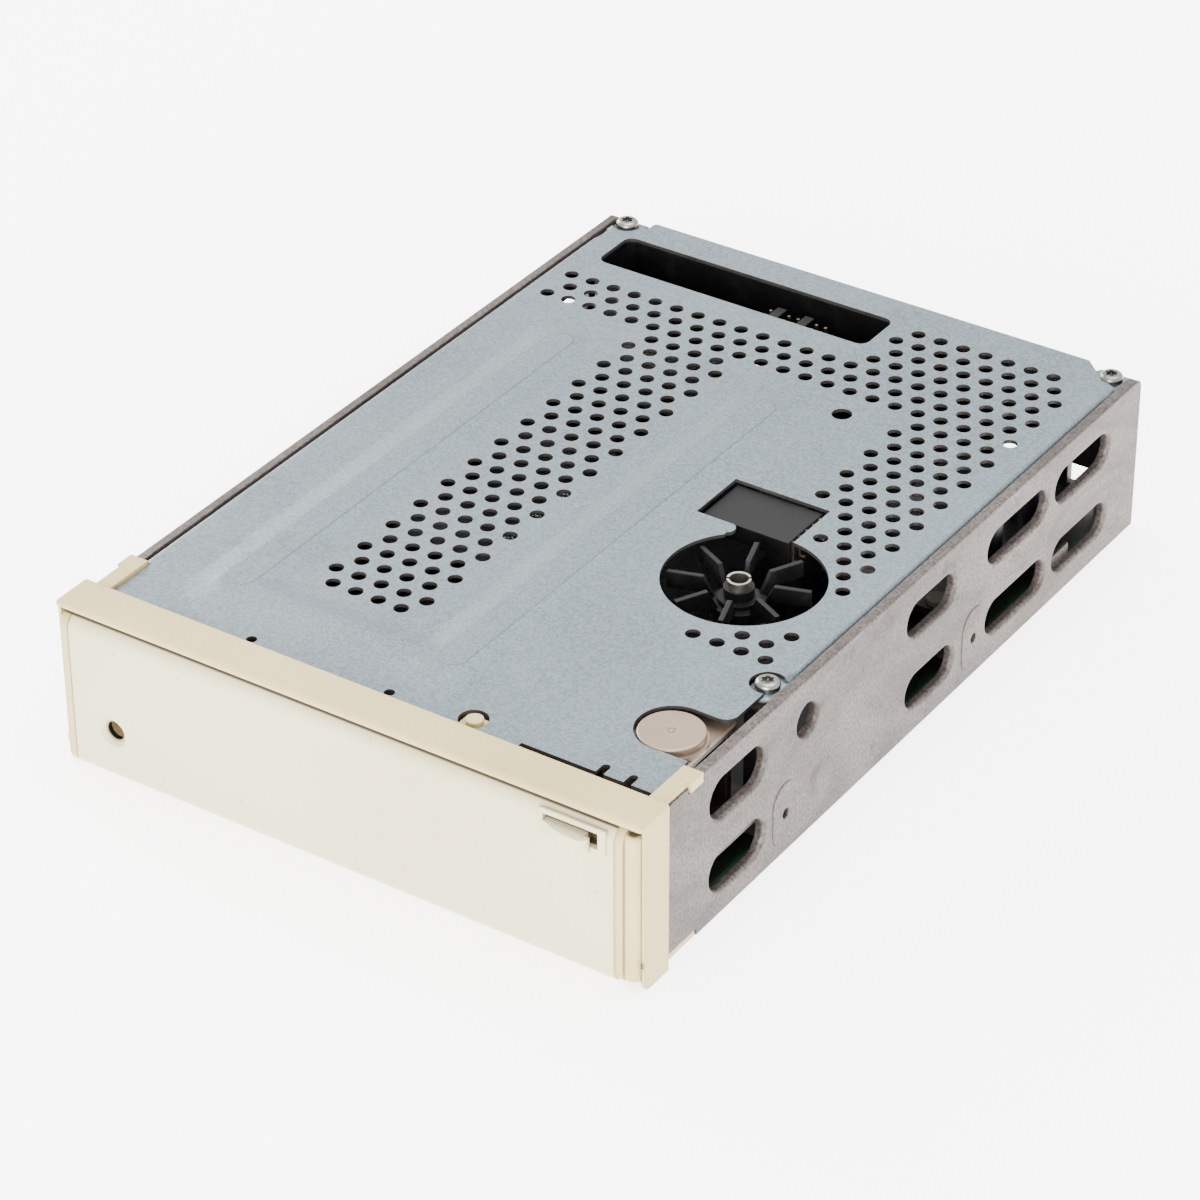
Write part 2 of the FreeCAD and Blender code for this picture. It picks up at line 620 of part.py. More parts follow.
def door_profile(inset, x0, x1):
    """Solid of the door's side outline, set in by `inset` from its outer face."""
    y0 = door_front + inset
    zt = door_z1 - inset
    zb = door_z0 + inset
    rt = roll_top - inset
    rb = roll_bottom - inset
    yt = door_front + roll_top
    yb = door_front + roll_bottom
    s = math.sqrt(0.5)
    top_mid = V(x0, yt - rt * s, zt - rt + rt * s)
    low_mid = V(x0, yb - rb * s, zb + rb - rb * s)
    back = door_front + 9.0
    edges = [
        Part.LineSegment(V(x0, y0, zb + rb), V(x0, y0, zt - rt)).toShape(),
        Part.Arc(V(x0, y0, zt - rt), top_mid, V(x0, yt, zt)).toShape(),
        Part.LineSegment(V(x0, yt, zt), V(x0, back, zt)).toShape(),
        Part.LineSegment(V(x0, back, zt), V(x0, back, zb)).toShape(),
        Part.LineSegment(V(x0, back, zb), V(x0, yb, zb)).toShape(),
        Part.Arc(V(x0, yb, zb), low_mid, V(x0, y0, zb + rb)).toShape(),
    ]
    return Part.Face(Part.Wire(edges)).extrude(V(x1 - x0, 0, 0))


def door_shell(outer, inner, x0, x1):
    """Shell between two insets of the door's outline, ending where the rolled edges end."""
    shell = door_profile(outer, x0, x1).cut(door_profile(inner, x0 - 1, x1 + 1))
    top_end = door_front + roll_top
    low_end = door_front + roll_bottom
    shell = shell.cut(box(x0 - 1, x1 + 1, top_end, 10, door_z1 - 10, door_z1 + 5))
    return shell.cut(box(x0 - 1, x1 + 1, low_end, 10, -5, door_z0 + 10))


lamp_hole_r = 2.3
dish_r = 3.5
dish_t = 1.4


def door_panel():
    """Pale front panel, set in the cream carrier."""
    panel = door_shell(0, panel_t, panel_x0, panel_x1)
    rim = box(window_x0 - 0.9, window_x1 + 1.9, door_front - rim_rise, door_front + 0.2, window_z0 - 0.8, window_z1 + 1.2)
    panel = panel.fuse(rim)
    dish = Part.makeCone(dish_r, lamp_hole_r, dish_t, V(led_x, door_front - 0.001, led_z), ALONG_Y)
    cuts = [dish, rod_y(lamp_hole_r, led_x, door_front - 1, door_front + 4, led_z),
            box(window_x0, window_x1, door_front - 2, door_front + 4, window_z0, window_z1)]
    return panel.cut(cuts).removeSplitter()


pillar_r = 1.85
groove = 0.5           # the strip beside the panel lies this much lower


def door_carrier():
    """Cream frame behind the panel, with the plain left end and the half-round right end."""
    inner = door_shell(panel_t, door_t, panel_x0, panel_x1)
    left = door_shell(0, door_t, -carrier_half, panel_x0)
    pillar_x = carrier_half - pillar_r
    strip = door_shell(groove, door_t, panel_x1, pillar_x - pillar_r)
    right = door_shell(1.3, door_t, pillar_x - pillar_r, carrier_half)
    pillar = rod(pillar_r, pillar_x, door_front + pillar_r, door_z0 + roll_bottom * 0.6, door_z1 - roll_top * 0.15)
    ends = [e for e in pillar.Edges if e.BoundBox.ZLength < 1e-6]
    pillar = pillar.makeFillet(1.2, ends)
    corner = [e for e in left.Edges if abs(e.BoundBox.XMax + carrier_half) < 1e-6 and
              abs(e.BoundBox.YMin - door_front) < 1e-4 and e.BoundBox.ZLength > 20]
    left = left.makeFillet(1.0, corner)
    parts = [inner, left, strip, right, pillar]
    for side in (-1, 1):
        xs = sorted([side * ear_inner, side * carrier_half])
        ear = rod_x(ear_r, xs[0], xs[1], pivot_y, pivot_z)
        neck = box(xs[0], xs[1], door_front + 1.4, pivot_y, pivot_z - ear_r, pivot_z + ear_r)
        parts += [ear, neck]
    # rails that the latch slides between, and the post for its spring
    back = door_front + door_t
    parts.append(box(rail_x0, rail_x1, back - 0.4, back + 2.6, latch_z1 + slide_gap, latch_z1 + slide_gap + 1.0))
    parts.append(box(rail_x0, rail_x1, back - 0.4, back + 2.6, latch_z0 - slide_gap - 1.0, latch_z0 - slide_gap))
    parts.append(box(spring_x0 - 1.6, spring_x0, back - 0.4, back + 2.6, spring_z - 1.6, spring_z + 1.6))
    body = union(parts)
    cuts = [rod_y(lamp_hole_r, led_x, door_front - 1, door_front + 4, led_z),
            box(window_x0, window_x1, door_front - 2, door_front + 4, window_z0, window_z1)]
    for side in (-1, 1):
        xs = sorted([side * ear_inner, side * (carrier_half + 1)])
        cuts.append(rod_x(pin_r, xs[0], xs[1], pivot_y, pivot_z))
    return body.cut(cuts)


ear_inner = carrier_half - 2.3
ear_r = 2.6
latch_z0 = 30.4
latch_z1 = 35.0
rail_x0 = window_x0 - 2.5
rail_x1 = window_x1 + 4.3
spring_x0 = window_x0 - 11.0
spring_z = 34.0
slider_plate_x0 = window_x0 - 2.0
slider_plate_x1 = window_x1 + 1.1


def hinge_pins():
    pins = []
    for side in (-1, 1):
        xs = sorted([side * ear_inner, side * (bezel_half - pocket_skin - run_gap)])
        pins.append(rod_x(pin_r, xs[0], xs[1], pivot_y, pivot_z))
    return Part.makeCompound(pins)


lip_low = 31.2
lip_top = 35.4
lip_r = 4.3
rim_rise = 0.4


def latch_slider():
    """Sliding door catch: finger tab, neck through the window, plate and rear hook."""
    back = door_front + door_t + slide_gap
    plate = box(slider_plate_x0, slider_plate_x1, back, back + 1.8, latch_z0, latch_z1)
    x0 = window_x0 + clear
    x1 = window_x1 - latch_travel - clear
    neck = box(x0, x1, door_front - 0.5, back, window_z0 + clear, lip_top)
    # finger lip: flush on the left, swelling out to the right, and rounded below
    y_rim = door_front - rim_rise - slide_gap
    y_peak = door_front - tab_reach
    lip_x1 = window_x1 - 1.8
    lip_full = x0 + (lip_x1 - x0) * 0.5
    peak = V(lip_x1 - 2.4, y_peak, lip_low)
    full = V(lip_full, y_peak + 0.15, lip_low)
    swell = V(x0 + (lip_full - x0) * 0.45, door_front - tab_reach * 0.66, lip_low)
    turn = V(lip_x1 - 0.7, y_peak + 0.45, lip_low)
    end = V(lip_x1, y_peak + 1.4, lip_low)
    edges = [
        Part.Arc(V(x0, y_rim - 0.05, lip_low), swell, full).toShape(),
        Part.LineSegment(full, peak).toShape(),
        Part.Arc(peak, turn, end).toShape(),
        Part.LineSegment(end, V(lip_x1, y_rim, lip_low)).toShape(),
        Part.LineSegment(V(lip_x1, y_rim, lip_low), V(x0, y_rim, lip_low)).toShape(),
        Part.LineSegment(V(x0, y_rim, lip_low), V(x0, y_rim - 0.05, lip_low)).toShape(),
    ]
    lip = Part.Face(Part.Wire(edges)).extrude(V(0, 0, lip_top - lip_low))
    keep = rod_x(lip_r, x0 - 1, lip_x1 + 1, y_peak + lip_r, lip_top)
    lip = lip.common(keep)
    root = box(x0, x1, y_rim - 0.3, door_front, window_z0 + clear, lip_top)
    hook_x0 = keeper_x1 + 1.9
    stem = box(hook_x0, hook_x0 + 1.5, back + 0.9, -1.6, 31.4, 34.6)
    bridge = box(slider_plate_x1 - 1, hook_x0 + 1.5, back + 0.9, back + 2.1, 31.4, 34.6)
    nose = box(keeper_x1 + clear, hook_x0 + 0.5, keeper_y + 1.5 + clear, -1.6, 31.4, 34.6)
    return union([plate, neck, root, lip, stem, bridge, nose])


def latch_spring():
    back = door_front + door_t + slide_gap
    return coil_spring(1.0, 0.2, slider_plate_x0 - spring_x0, 1.1, V(spring_x0, back + 1.2, spring_z), ALONG_X)


def light_guide():
    stem = rod_y(guide_r, led_x, -6.4, 0.9, led_z)
    flange = rod_y(2.15, led_x, 0, 0.9, led_z)
    return union([stem, flange])


def status_lamp():
    dome = rod_y(1.5, led_x, 1.0, 4.6, led_z)
    base = rod_y(1.9, led_x, 4.6, lamp_board_y, led_z)
    return union([dome, base])


def lamp_board():
    board = box(led_x - 8.25, led_x + 8.55, lamp_board_y, lamp_board_y + 1.2, 3.4, 14.8)
    return board.cut([rod_y(0.9, x, 0, 20, z) for x, z in lamp_boss_spots])


def lamp_board_screws():
    screws = []
    for x, z in lamp_boss_spots:
        head = rod_y(1.6, x, lamp_board_y + 1.2, lamp_board_y + 2.2, z)
        shank = rod_y(0.8, x, 1.6, lamp_board_y + 1.2, z)
        screws.append(union([head, shank]))
    return Part.makeCompound(screws)


# ------------------------------------------------------------------ cartridge bay

slider_half = 18.0
slider_x0 = bay_mid - slider_half
slider_x1 = bay_mid + slider_half
slider_y0 = 124.0
slider_y1 = 142.0
slider_travel = 10.4
hook_y = 92.0
slider_screw_spots = [(bay_mid - 12.0, 137.2), (bay_mid + 12.0, 137.2)]
plunger_travel = 3.4


def guide_rail(x0, x1, wall_x0, wall_x1, y0, y1):
    floor = box(x0, x1, y0, y1, deck_z0 + deck_t, bay_floor)
    wall = box(wall_x0, wall_x1, y0, y1, deck_z0 + deck_t, bay_floor + bay_height)
    return union([floor, wall])


def left_guide():
    inner = half_width - plate_t
    rail = guide_rail(-inner + 0.1, bay_x0 + 8.7, -inner + 0.1, bay_x0 - 0.1, deck_y0 + 0.4, 145.0)
    window = box(-inner - 1, bay_x0 + 2, lever_y - 12.5, lever_y + 12.5, bay_floor + 0.2, bay_floor + bay_height + 1)
    slots = [box(-inner - 1, bay_x0 + 1, y0, y1, bay_floor + 8.5, bay_floor + bay_height - 1.1) for y0, y1 in ((18.4, 39.0), (97.2, 117.6))]
    return rail.cut([window] + slots)


def right_guide():
    floor = box(bay_x1 - 11.9, bay_x1 - 0.2, deck_y0 + 0.4, 150.0, deck_z0 + deck_t, bay_floor)
    ear = box(bay_x1 + 0.1, bay_x1 + 1.6, deck_y0 + 0.4, 18.0, deck_z0 + deck_t, bay_floor + bay_height)
    sole = box(bay_x1 - 1.0, bay_x1 + 1.6, deck_y0 + 0.4, 18.0, deck_z0 + deck_t, bay_floor)
    stop = box(bay_x1 + 0.1, bay_x1 + 1.6, 118.0, 150.0, deck_z0 + deck_t, bay_floor + bay_height)
    foot = box(bay_x1 - 1.0, bay_x1 + 1.6, 118.0, 150.0, deck_z0 + deck_t, bay_floor)
    body = union([floor, ear, sole, stop, foot])
    return body.cut([rod(2.5, x, y, 10, 20) for x, y in motor_screw_spots])


def eject_slider():
    z0 = deck_z0 + deck_t + slide_gap
    plate = box(slider_x0, slider_x1, slider_y0, slider_y1 + 7.6, z0, z0 + 1.2)
    push = box(slider_x0 + 4, slider_x1 - 4, slider_y1 - 1.4, slider_y1, z0, 31.0)
    braces = []
    for x in (bay_mid - 4.0, bay_mid + 2.6):
        outline = [(slider_y1 - 0.5, z0 + 1.0), (slider_y1 + 7.2, z0 + 1.0), (slider_y1 - 0.5, 28.0)]
        braces.append(slab_x(x, x + 1.4, outline))
    body = union([plate, push] + braces)
    cuts = []
    for x, y in slider_screw_spots:
        y_far = y - slider_travel
        cuts.append(box(x - 1.7, x + 1.7, y_far, y, z0 - 1, z0 + 2))
        cuts.append(rod(1.7, x, y, z0 - 1, z0 + 2))
        cuts.append(rod(1.7, x, y_far, z0 - 1, z0 + 2))
    return body.cut(cuts)


def slab_x(x0, x1, points):
    wire = Part.makePolygon([V(x0, y, z) for y, z in points + points[:1]])
    return Part.Face(wire).extrude(V(x1 - x0, 0, 0))


def slider_screws():
    z0 = deck_z0 + deck_t
    screws = []
    for x, y in slider_screw_spots:
        head = rod(2.9, x, y, z0 + slide_gap + 1.2 + slide_gap, bay_floor - 0.1)
        shank = rod(1.5, x, y, z0 - 1.9, z0 + slide_gap + 1.2 + slide_gap)
        screws.append(union([head, shank]))
    return Part.makeCompound(screws)


def eject_springs():
    z = deck_z0 + deck_t + 1.15
    length = slider_y0 - hook_y - 1.0
    coils = []
    for x in (slider_x0 + 4, slider_x1 - 4):
        coils.append(coil_spring(0.9, 0.2, length, 1.6, V(x, hook_y + 1.0, z), ALONG_Y))
    return Part.makeCompound(coils)


lever_x = bay_x0 - 0.6
lever_y = 62.0
lever_swing = 9.0


def lock_lever():
    """Sprung lever at the left wall, whose roller drops into the cartridge's side notch."""
    arm = box(lever_x - 0.7, lever_x + 0.5, lever_y - 10.5, lever_y + 8.0, 22.0, 28.0)
    knuckle = rod(1.1, lever_x, lever_y - 9.4, 22.0, 28.0)
    nose = rod(1.9, lever_x + 0.6, lever_y + 7.0, 23.5, 26.5)
    trim = box(-80, -half_width + plate_t + 0.35, 0, 200, 0, 50)
    body = union([arm, knuckle, nose]).cut(trim)
    return body.cut(rod(0.6 + run_gap, lever_x, lever_y - 9.4, 20, 30))


def lever_pin():
    return rod(0.6, lever_x, lever_y - 9.4, bay_floor + 0.2, 30.0)


def switch_bank():
    """Two plunger switches behind the cartridge, on one moulded body."""
    body = box(switch_xs[0] - 5.0, switch_xs[1] + 5.0, 151.6, 159.6, deck_z0 + deck_t, 29.0)
    cuts = []
    for x in switch_xs:
        cuts.append(box(x - 1.8 - slide_gap, x + 1.8 + slide_gap, 151, 158.2, 21.0 - slide_gap, 25.0 + slide_gap))
    return body.cut(cuts)


switch_xs = (bay_x0 + 9.7, bay_x0 + 21.7)


def plunger(x):
    body = box(x - 1.8, x + 1.8, 147.6, 154.4, 21.0, 25.0)
    tip = [e for e in body.Edges if abs(e.BoundBox.YMax - 147.6) < 1e-6 and e.BoundBox.ZLength > 3]
    return body.makeFillet(0.9, tip)


def hold_down_springs():
    """Two bowed leaves under the cover that press a cartridge on its rails."""
    under = top_z - sheet_t
    leaves = []
    for x in (arm_mid[0] - 2.3, arm_mid[1] - 2.0):
        half_span = 42.0
        depth = 4.2
        y_mid = 84.0
        thick = 0.3
        low = Part.Arc(V(x, y_mid - half_span, under - thick), V(x, y_mid, under - thick - depth),
                       V(x, y_mid + half_span, under - thick)).toShape()
        high = Part.Arc(V(x, y_mid - half_span, under), V(x, y_mid, under - depth),
                        V(x, y_mid + half_span, under)).toShape()
        side_a = Part.LineSegment(V(x, y_mid - half_span, under - thick), V(x, y_mid - half_span, under)).toShape()
        side_b = Part.LineSegment(V(x, y_mid + half_span, under - thick), V(x, y_mid + half_span, under)).toShape()
        bow = Part.Face(Part.Wire(Part.__sortEdges__([low, side_b, high, side_a]))).extrude(V(5, 0, 0))
        feet = [box(x, x + 5, y_mid - half_span - 5, y_mid - half_span, under - thick, under),
                box(x, x + 5, y_mid + half_span, y_mid + half_span + 5, under - thick, under)]
        leaves.append(union([bow] + feet))
    return Part.makeCompound(leaves)


# ------------------------------------------------------------------ capstan motor

bearing_r = 4.0
can_out = 15.0
motor_screw_spots = [(axis_x + 9.5 * math.cos(math.radians(a)), axis_y + 9.5 * math.sin(math.radians(a)))
                     for a in (90, 210, 330)]


def motor_base():
    """Flange under the deck with the bearing sleeve that passes up through it."""
    flange = rod(12.0, axis_x, axis_y, deck_z0 - 1.6, deck_z0)
    sleeve = rod(4.7, axis_x, axis_y, 5.0, 20.0)
    body = union([flange, sleeve])
    cuts = [rod(3.0, axis_x, axis_y, 0, 30),
            rod(bearing_r, axis_x, axis_y, 5.0, 7.5), rod(bearing_r, axis_x, axis_y, 17.5, 20.0)]
    cuts += [rod(1.2, x, y, 0, 30) for x, y in motor_screw_spots]
    return body.cut(cuts)


def motor_screws():
    screws = []
    for x, y in motor_screw_spots:
        head = rod(2.1, x, y, deck_z0 + deck_t, deck_z0 + deck_t + 1.2)
        screws.append(union([head, rod(1.2, x, y, deck_z0 - 1.6, deck_z0 + deck_t)]))
    return Part.makeCompound(screws)


def motor_bearings():
    rings = []
    for z in (5.0, 17.5):
        rings.append(tube(bearing_r, shaft_r + run_gap, axis_x, axis_y, z, z + 2.5))
    return Part.makeCompound(rings)


def motor_stator():
    """Nine-pole laminated core on the sleeve."""
    ring = tube(7.2, 4.7, axis_x, axis_y, 5.8, 9.2)
    parts = [ring]
    for k in range(9):
        a = 40 * k
        tooth = box(6.8, 11.2, -0.9, 0.9, 5.8, 9.2)
        shoe = box(11.0, 12.0, -2.9, 2.9, 5.8, 9.2)
        for piece in (tooth, shoe):
            piece.rotate(V(0, 0, 0), UP, a)
            piece.translate(V(axis_x, axis_y, 0))
            parts.append(piece)
    return union(parts)


def motor_windings():
    coils = []
    for k in range(9):
        coil = box(7.5, 10.8, -2.0, 2.0, 5.3, 9.7).cut(box(7.0, 11.5, -0.91, 0.91, 5.79, 9.21))
        coil.rotate(V(0, 0, 0), UP, 40 * k)
        coil.translate(V(axis_x, axis_y, 0))
        coils.append(coil)
    return Part.makeCompound(coils)


def capstan_rotor():
    """Cup-shaped rotor under the deck, open upwards."""
    floor = rod(can_out, axis_x, axis_y, 2.6, 3.8)
    wall = tube(can_out, can_out - 1.0, axis_x, axis_y, 3.8, 10.0)
    hub = rod(4.4, axis_x, axis_y, 3.8, 4.7)
    body = union([floor, wall, hub])
    return body.cut(rod(shaft_r, axis_x, axis_y, 0, 20))


def rotor_magnet():
    return tube(can_out - 1.0, can_out - 2.5, axis_x, axis_y, 4.0, 9.8)


def capstan_shaft():
    """Hollow shaft, slotted at the top."""
    body = tube(shaft_r, shaft_r - shaft_wall, axis_x, axis_y, 2.6, shaft_top)
    slot = box(-0.45, 0.45, 0.5, 4, shaft_top - 3.2, shaft_top + 1)
    slot.rotate(V(0, 0, 0), UP, 118)
    slot2 = box(-0.45, 0.45, 0.5, 4, shaft_top - 3.2, shaft_top + 1)
    slot2.rotate(V(0, 0, 0), UP, -52)
    for s in (slot, slot2):
        s.translate(V(axis_x, axis_y, 0))
    return body.cut([slot, slot2])


def drive_roller():
    """Rubber tyre on a hub, at the height of the cartridge's drive wheel."""
    body = tube(roller_r, 4.2, axis_x, axis_y, 22.0, 28.4)
    edges = [e for e in body.Edges if abs(e.BoundBox.XLength - 2 * roller_r) < 1e-3]
    return body.makeFillet(0.5, edges)


def roller_hub():
    body = union([rod(4.2, axis_x, axis_y, 21.0, 29.4), rod(5.4, axis_x, axis_y, 28.6, 29.4)])
    return body.cut(rod(shaft_r, axis_x, axis_y, 0, 50))


collar_top = 37.4
vane_half = 0.55


def cooling_fan():
    """Eight straight vanes whose top edges slope down to a flat metal-capped hub."""
    hub_top = 33.6
    skirt = rod(6.2, axis_x, axis_y, 30.0, hub_top)
    step = rod(4.6, axis_x, axis_y, hub_top, hub_top + 1.2)
    collar = rod(3.4, axis_x, axis_y, hub_top + 1.2, collar_top)
    parts = [skirt, step, collar]
    for k in range(fan_vanes):
        profile = [(5.0, hub_top - 2.4), (5.4, hub_top), (7.9, fan_top), (fan_r, fan_top), (fan_r, fan_top - 3.8),
                   (9.0, fan_top - 4.0)]
        wire = Part.makePolygon([V(r, -vane_half, z) for r, z in profile + profile[:1]])
        vane = Part.Face(wire).extrude(V(0, 2 * vane_half, 0))
        vane.rotate(V(0, 0, 0), UP, 18 + 360.0 / fan_vanes * k)
        vane.translate(V(axis_x, axis_y, 0))
        parts.append(vane)
    return union(parts).cut(rod(shaft_r, axis_x, axis_y, 0, 50))


# ------------------------------------------------------------------ tape sensor

sensor_x0 = axis_x - 21.0
sensor_x1 = axis_x + 1.0
sensor_y0 = 98.8
sensor_y1 = 113.2
sensor_top = 38.6


def tape_sensor():
    """Black L-shaped housing that looks down on the cartridge's tape window."""
    cap = box(sensor_x0, sensor_x1, sensor_y0, sensor_y1, bay_floor + bay_height + 0.4, sensor_top)
    stem = box(bay_x1 + 1.9, sensor_x1, sensor_y0, sensor_y1, deck_z0 + deck_t, sensor_top)
    return union([cap, stem])


def sensor_leads():
    """Short flat leads on the side of the housing, each bent out at its lower end."""
    leads = []
    for k in range(5):
        y = sensor_y0 + 1.6 + 2.8 * k
        upright = box(sensor_x1, sensor_x1 + 0.4, y - 0.35, y + 0.35, 33.0, sensor_top - 0.3)
        foot = box(sensor_x1, sensor_x1 + 1.6, y - 0.35, y + 0.35, 33.0, 33.4)
        leads.append(union([upright, foot]))
    return Part.makeCompound(leads)


# ------------------------------------------------------------------ head lift

bracket_x0 = lift_x - 11.8
bracket_x1 = lift_x + 7.2
bracket_y0 = 13.4
bracket_y1 = 39.4
bracket_wall = 2.0
bracket_foot = 4.4      # how far the screwed feet reach past the walls
lift_screw_spots = [(lift_x - 2.3, bracket_y0 - 2.1), (lift_x - 2.3, bracket_y1 + 2.1)]
rod_spots = [(lift_x - 8.7, 21.0), (lift_x - 8.7, 28.0)]


def head_bracket():
    """Cast bracket: a shelf for the step motor on two cross walls, and a foot on the deck."""
    z0 = deck_z0 + deck_t
    shelf = round_slab(bracket_x0, bracket_x1, bracket_y0, bracket_y1, 2.0, shelf_z - shelf_t, shelf_z)
    front = box(bracket_x0 + 2, bracket_x1 - 2, bracket_y0, bracket_y0 + bracket_wall, z0, shelf_z - 0.5)
    back = box(bracket_x0 + 2, bracket_x1 - 2, bracket_y1 - bracket_wall, bracket_y1, z0, shelf_z - 0.5)
    foot = box(bracket_x0, bracket_x1, bracket_y0 - bracket_foot, bracket_y1 + bracket_foot, z0, z0 + 1.8)
    body = union([shelf, front, back, foot])
    cuts = [rod(can_r - 1.6, lift_x, lift_y, shelf_z - 5, shelf_z + 1),
            rod(1.4 + run_gap, lift_x, lift_y, z0 + 0.4, z0 + 3)]
    cuts += [rod(rod_r, x, y, z0 + 0.6, shelf_z - 0.6) for x, y in rod_spots]
    for x, y in lift_screw_spots:
        cuts.append(rod(1.2, x, y, z0 - 1, z0 + 3))
    return body.cut(cuts)


def bracket_screws():
    z0 = deck_z0 + deck_t + 1.8
    screws = []
    for x, y in lift_screw_spots:
        screws.append(union([rod(2.1, x, y, z0, z0 + 1.2), rod(1.2, x, y, z0 - 3.7, z0)]))
    return Part.makeCompound(screws)


def guide_rods():
    z0 = deck_z0 + deck_t
    return Part.makeCompound([rod(rod_r, x, y, z0 + 0.6, shelf_z - 0.6) for x, y in rod_spots])


def step_motor():
    """Motor can on the shelf, with a small bearing mark in the middle of its top."""
    can = rod(can_r, lift_x, lift_y, shelf_z, can_top)
    rim = [e for e in can.Edges if abs(e.BoundBox.ZMin - can_top) < 1e-6]
    can = can.makeFillet(0.5, rim)
    flange = rod(can_flange_r, lift_x, lift_y, shelf_z, shelf_z + 1.1)
    body = rod(can_r - 1.65, lift_x, lift_y, shelf_z - 7.0, shelf_z)
    mark = tube(0.95, 0.6, lift_x, lift_y, can_top - 0.2, can_top + 1)
    bore = rod(1.4 + run_gap, lift_x, lift_y, 20, can_top - 1.2)
    return union([can, flange, body]).cut([mark, bore])


def lead_screw():
    """Screw spindle with a coarse thread, from the motor down to the bracket's foot."""
    z0 = deck_z0 + deck_t + 0.5
    shank = rod(1.4, lift_x, lift_y, z0, can_top - 1.4)
    rings = []
    for k in range(9):
        z = 18.2 + 1.0 * k
        rings.append(rod(1.75, lift_x, lift_y, z, z + 0.5))
    return union([shank] + rings)


carriage_x0 = lift_x - 15.9


def head_carriage():
    """Block that rides on the two rods and the screw, carrying the head towards the bay."""
    z0 = 19.6
    z1 = 26.6
    body = box(carriage_x0, lift_x + 3.7, 18.2, 30.8, z0, z1)
    body = body.cut([rod(1.75 + run_gap, lift_x, lift_y, z0 - 1, z1 + 1)] +
                    [rod(rod_r + run_gap, x, y, z0 - 1, z1 + 1) for x, y in rod_spots])
    return body


def tape_head():
    """Head block with a crowned face towards the tape."""
    face_x = bay_x1 + clear
    body = box(face_x + 1.4, carriage_x0, 20.4, 28.6, 20.0, 26.2)
    crown = rod(9.0, face_x + 9.0, lift_y, 20.0, 26.2).common(box(face_x - 4, face_x + 2, 20.4, 28.6, 20.0, 26.2))
    return union([body, crown])


def lift_spring():
    """Coil round the front rod that takes up the screw's backlash."""
    x, y = rod_spots[0]
    z0 = 26.6
    z1 = shelf_z - shelf_t
    return coil_spring(rod_r + 0.75, 0.25, z1 - z0, 1.5, V(x, y, z0), UP)


# ------------------------------------------------------------------ boards and connectors

def main_board():
    inner = half_width - plate_t
    board = box(-board_half, board_half, 16.0, chassis_depth - rear_wall_t - 0.4, board_z, board_z + board_t)
    cuts = [rod(can_out + 1.0, axis_x, axis_y, 0, 20)]
    for side in (-1, 1):
        for y in (mount_y1, mount_y1 + mount_pitch_y):
            xs = sorted([side * (block_half - 0.5), side * inner])
            cuts.append(box(xs[0], xs[1], y - 5.3, y + 5.3, 0, 20))
    cuts += [rod(1.5, x, y, 0, 20) for x, y in board_screw_spots]
    return board.cut(cuts)


def board_screws():
    screws = []
    for x, y in board_screw_spots:
        head = rod(2.6, x, y, board_z - 1.6, board_z)
        shank = rod(1.2, x, y, board_z, board_z + 5.4 if y < 160 else board_z + board_t + 3)
        screws.append(union([head, shank]))
    return Part.makeCompound(screws)


def chip(x, y, w, d, h, z):
    body = box(x - w / 2, x + w / 2, y - d / 2, y + d / 2, z + 0.25, z + h)
    legs = []
    count = int(w / 2.2)
    for k in range(count):
        lx = x - (count - 1) * 1.1 + 2.2 * k
        for s in (-1, 1):
            ys = sorted([y + s * (d / 2 - 0.5), y + s * (d / 2 + 0.9)])
            legs.append(box(lx - 0.35, lx + 0.35, ys[0], ys[1], z, z + 0.6))
    return union([body] + legs)


def board_chips():
    z = board_z + board_t
    places = [(-30, 60, 28, 28, 3.2), (-30, 100, 20, 12, 2.6), (-4, 100, 20, 12, 2.6), (-30, 140, 24, 24, 3.2),
              (-54, 80, 12, 18, 2.8), (30, 145, 18, 10, 2.6), (30, 165, 18, 10, 2.6), (-10, 172, 16, 12, 2.6),
              (-50, 190, 10, 8, 2.2)]
    return Part.makeCompound([chip(x, y, w, d, h, z) for x, y, w, d, h in places[:8]])


def board_capacitors():
    z = board_z + board_t
    cans = [rod(2.5, x, y, z, z + 5.6) for x, y in ((50, 110), (57, 110), (30, 40), (-58, 40))]
    top = servo_z + 1.6
    far = servo_x1 - 3.8
    spots = [(far, 136.0, 3.1, 11.0), (far, 146.0, 3.1, 11.0), (far - 2.1, 165.0, 4.0, 10.0),
             (servo_x0 + 4.5, 130.0, 2.5, 8.0)]
    return Part.makeCompound(cans + [rod(r, x, y, top, top + h) for x, y, r, h in spots])


servo_z = 18.0
servo_x0 = bay_x1 + 3.1
servo_x1 = half_width - 3.625
servo_y0 = 118.6
servo_y1 = 180.0
servo_posts = [(servo_x0 + 11.0, 122.0), (servo_x0 + 29.0, 122.0), (servo_x0 + 4.0, 155.0)]


def servo_board():
    board = box(servo_x0, servo_x1, servo_y0, servo_y1, servo_z, servo_z + 1.6)
    return board.cut([rod(1.3, x, y, 0, 50) for x, y in servo_posts])


def servo_posts_set():
    z0 = deck_z0 + deck_t
    posts = []
    for x, y in servo_posts:
        post = rod(2.6, x, y, z0, servo_z)
        peg = rod(1.3, x, y, servo_z, servo_z + 1.6)
        cap = rod(2.4, x, y, servo_z + 1.6, servo_z + 2.8)
        posts.append(union([post, peg, cap]))
    return Part.makeCompound(posts)


def servo_chips():
    z = servo_z + 1.6
    places = [(servo_x0 + 14, 141, 18, 9, 2.8), (servo_x0 + 15, 156, 14, 10, 2.6), (servo_x0 + 11, 170, 14, 8, 2.6)]
    return Part.makeCompound([chip(x, y, w, d, h, z) for x, y, w, d, h in places])


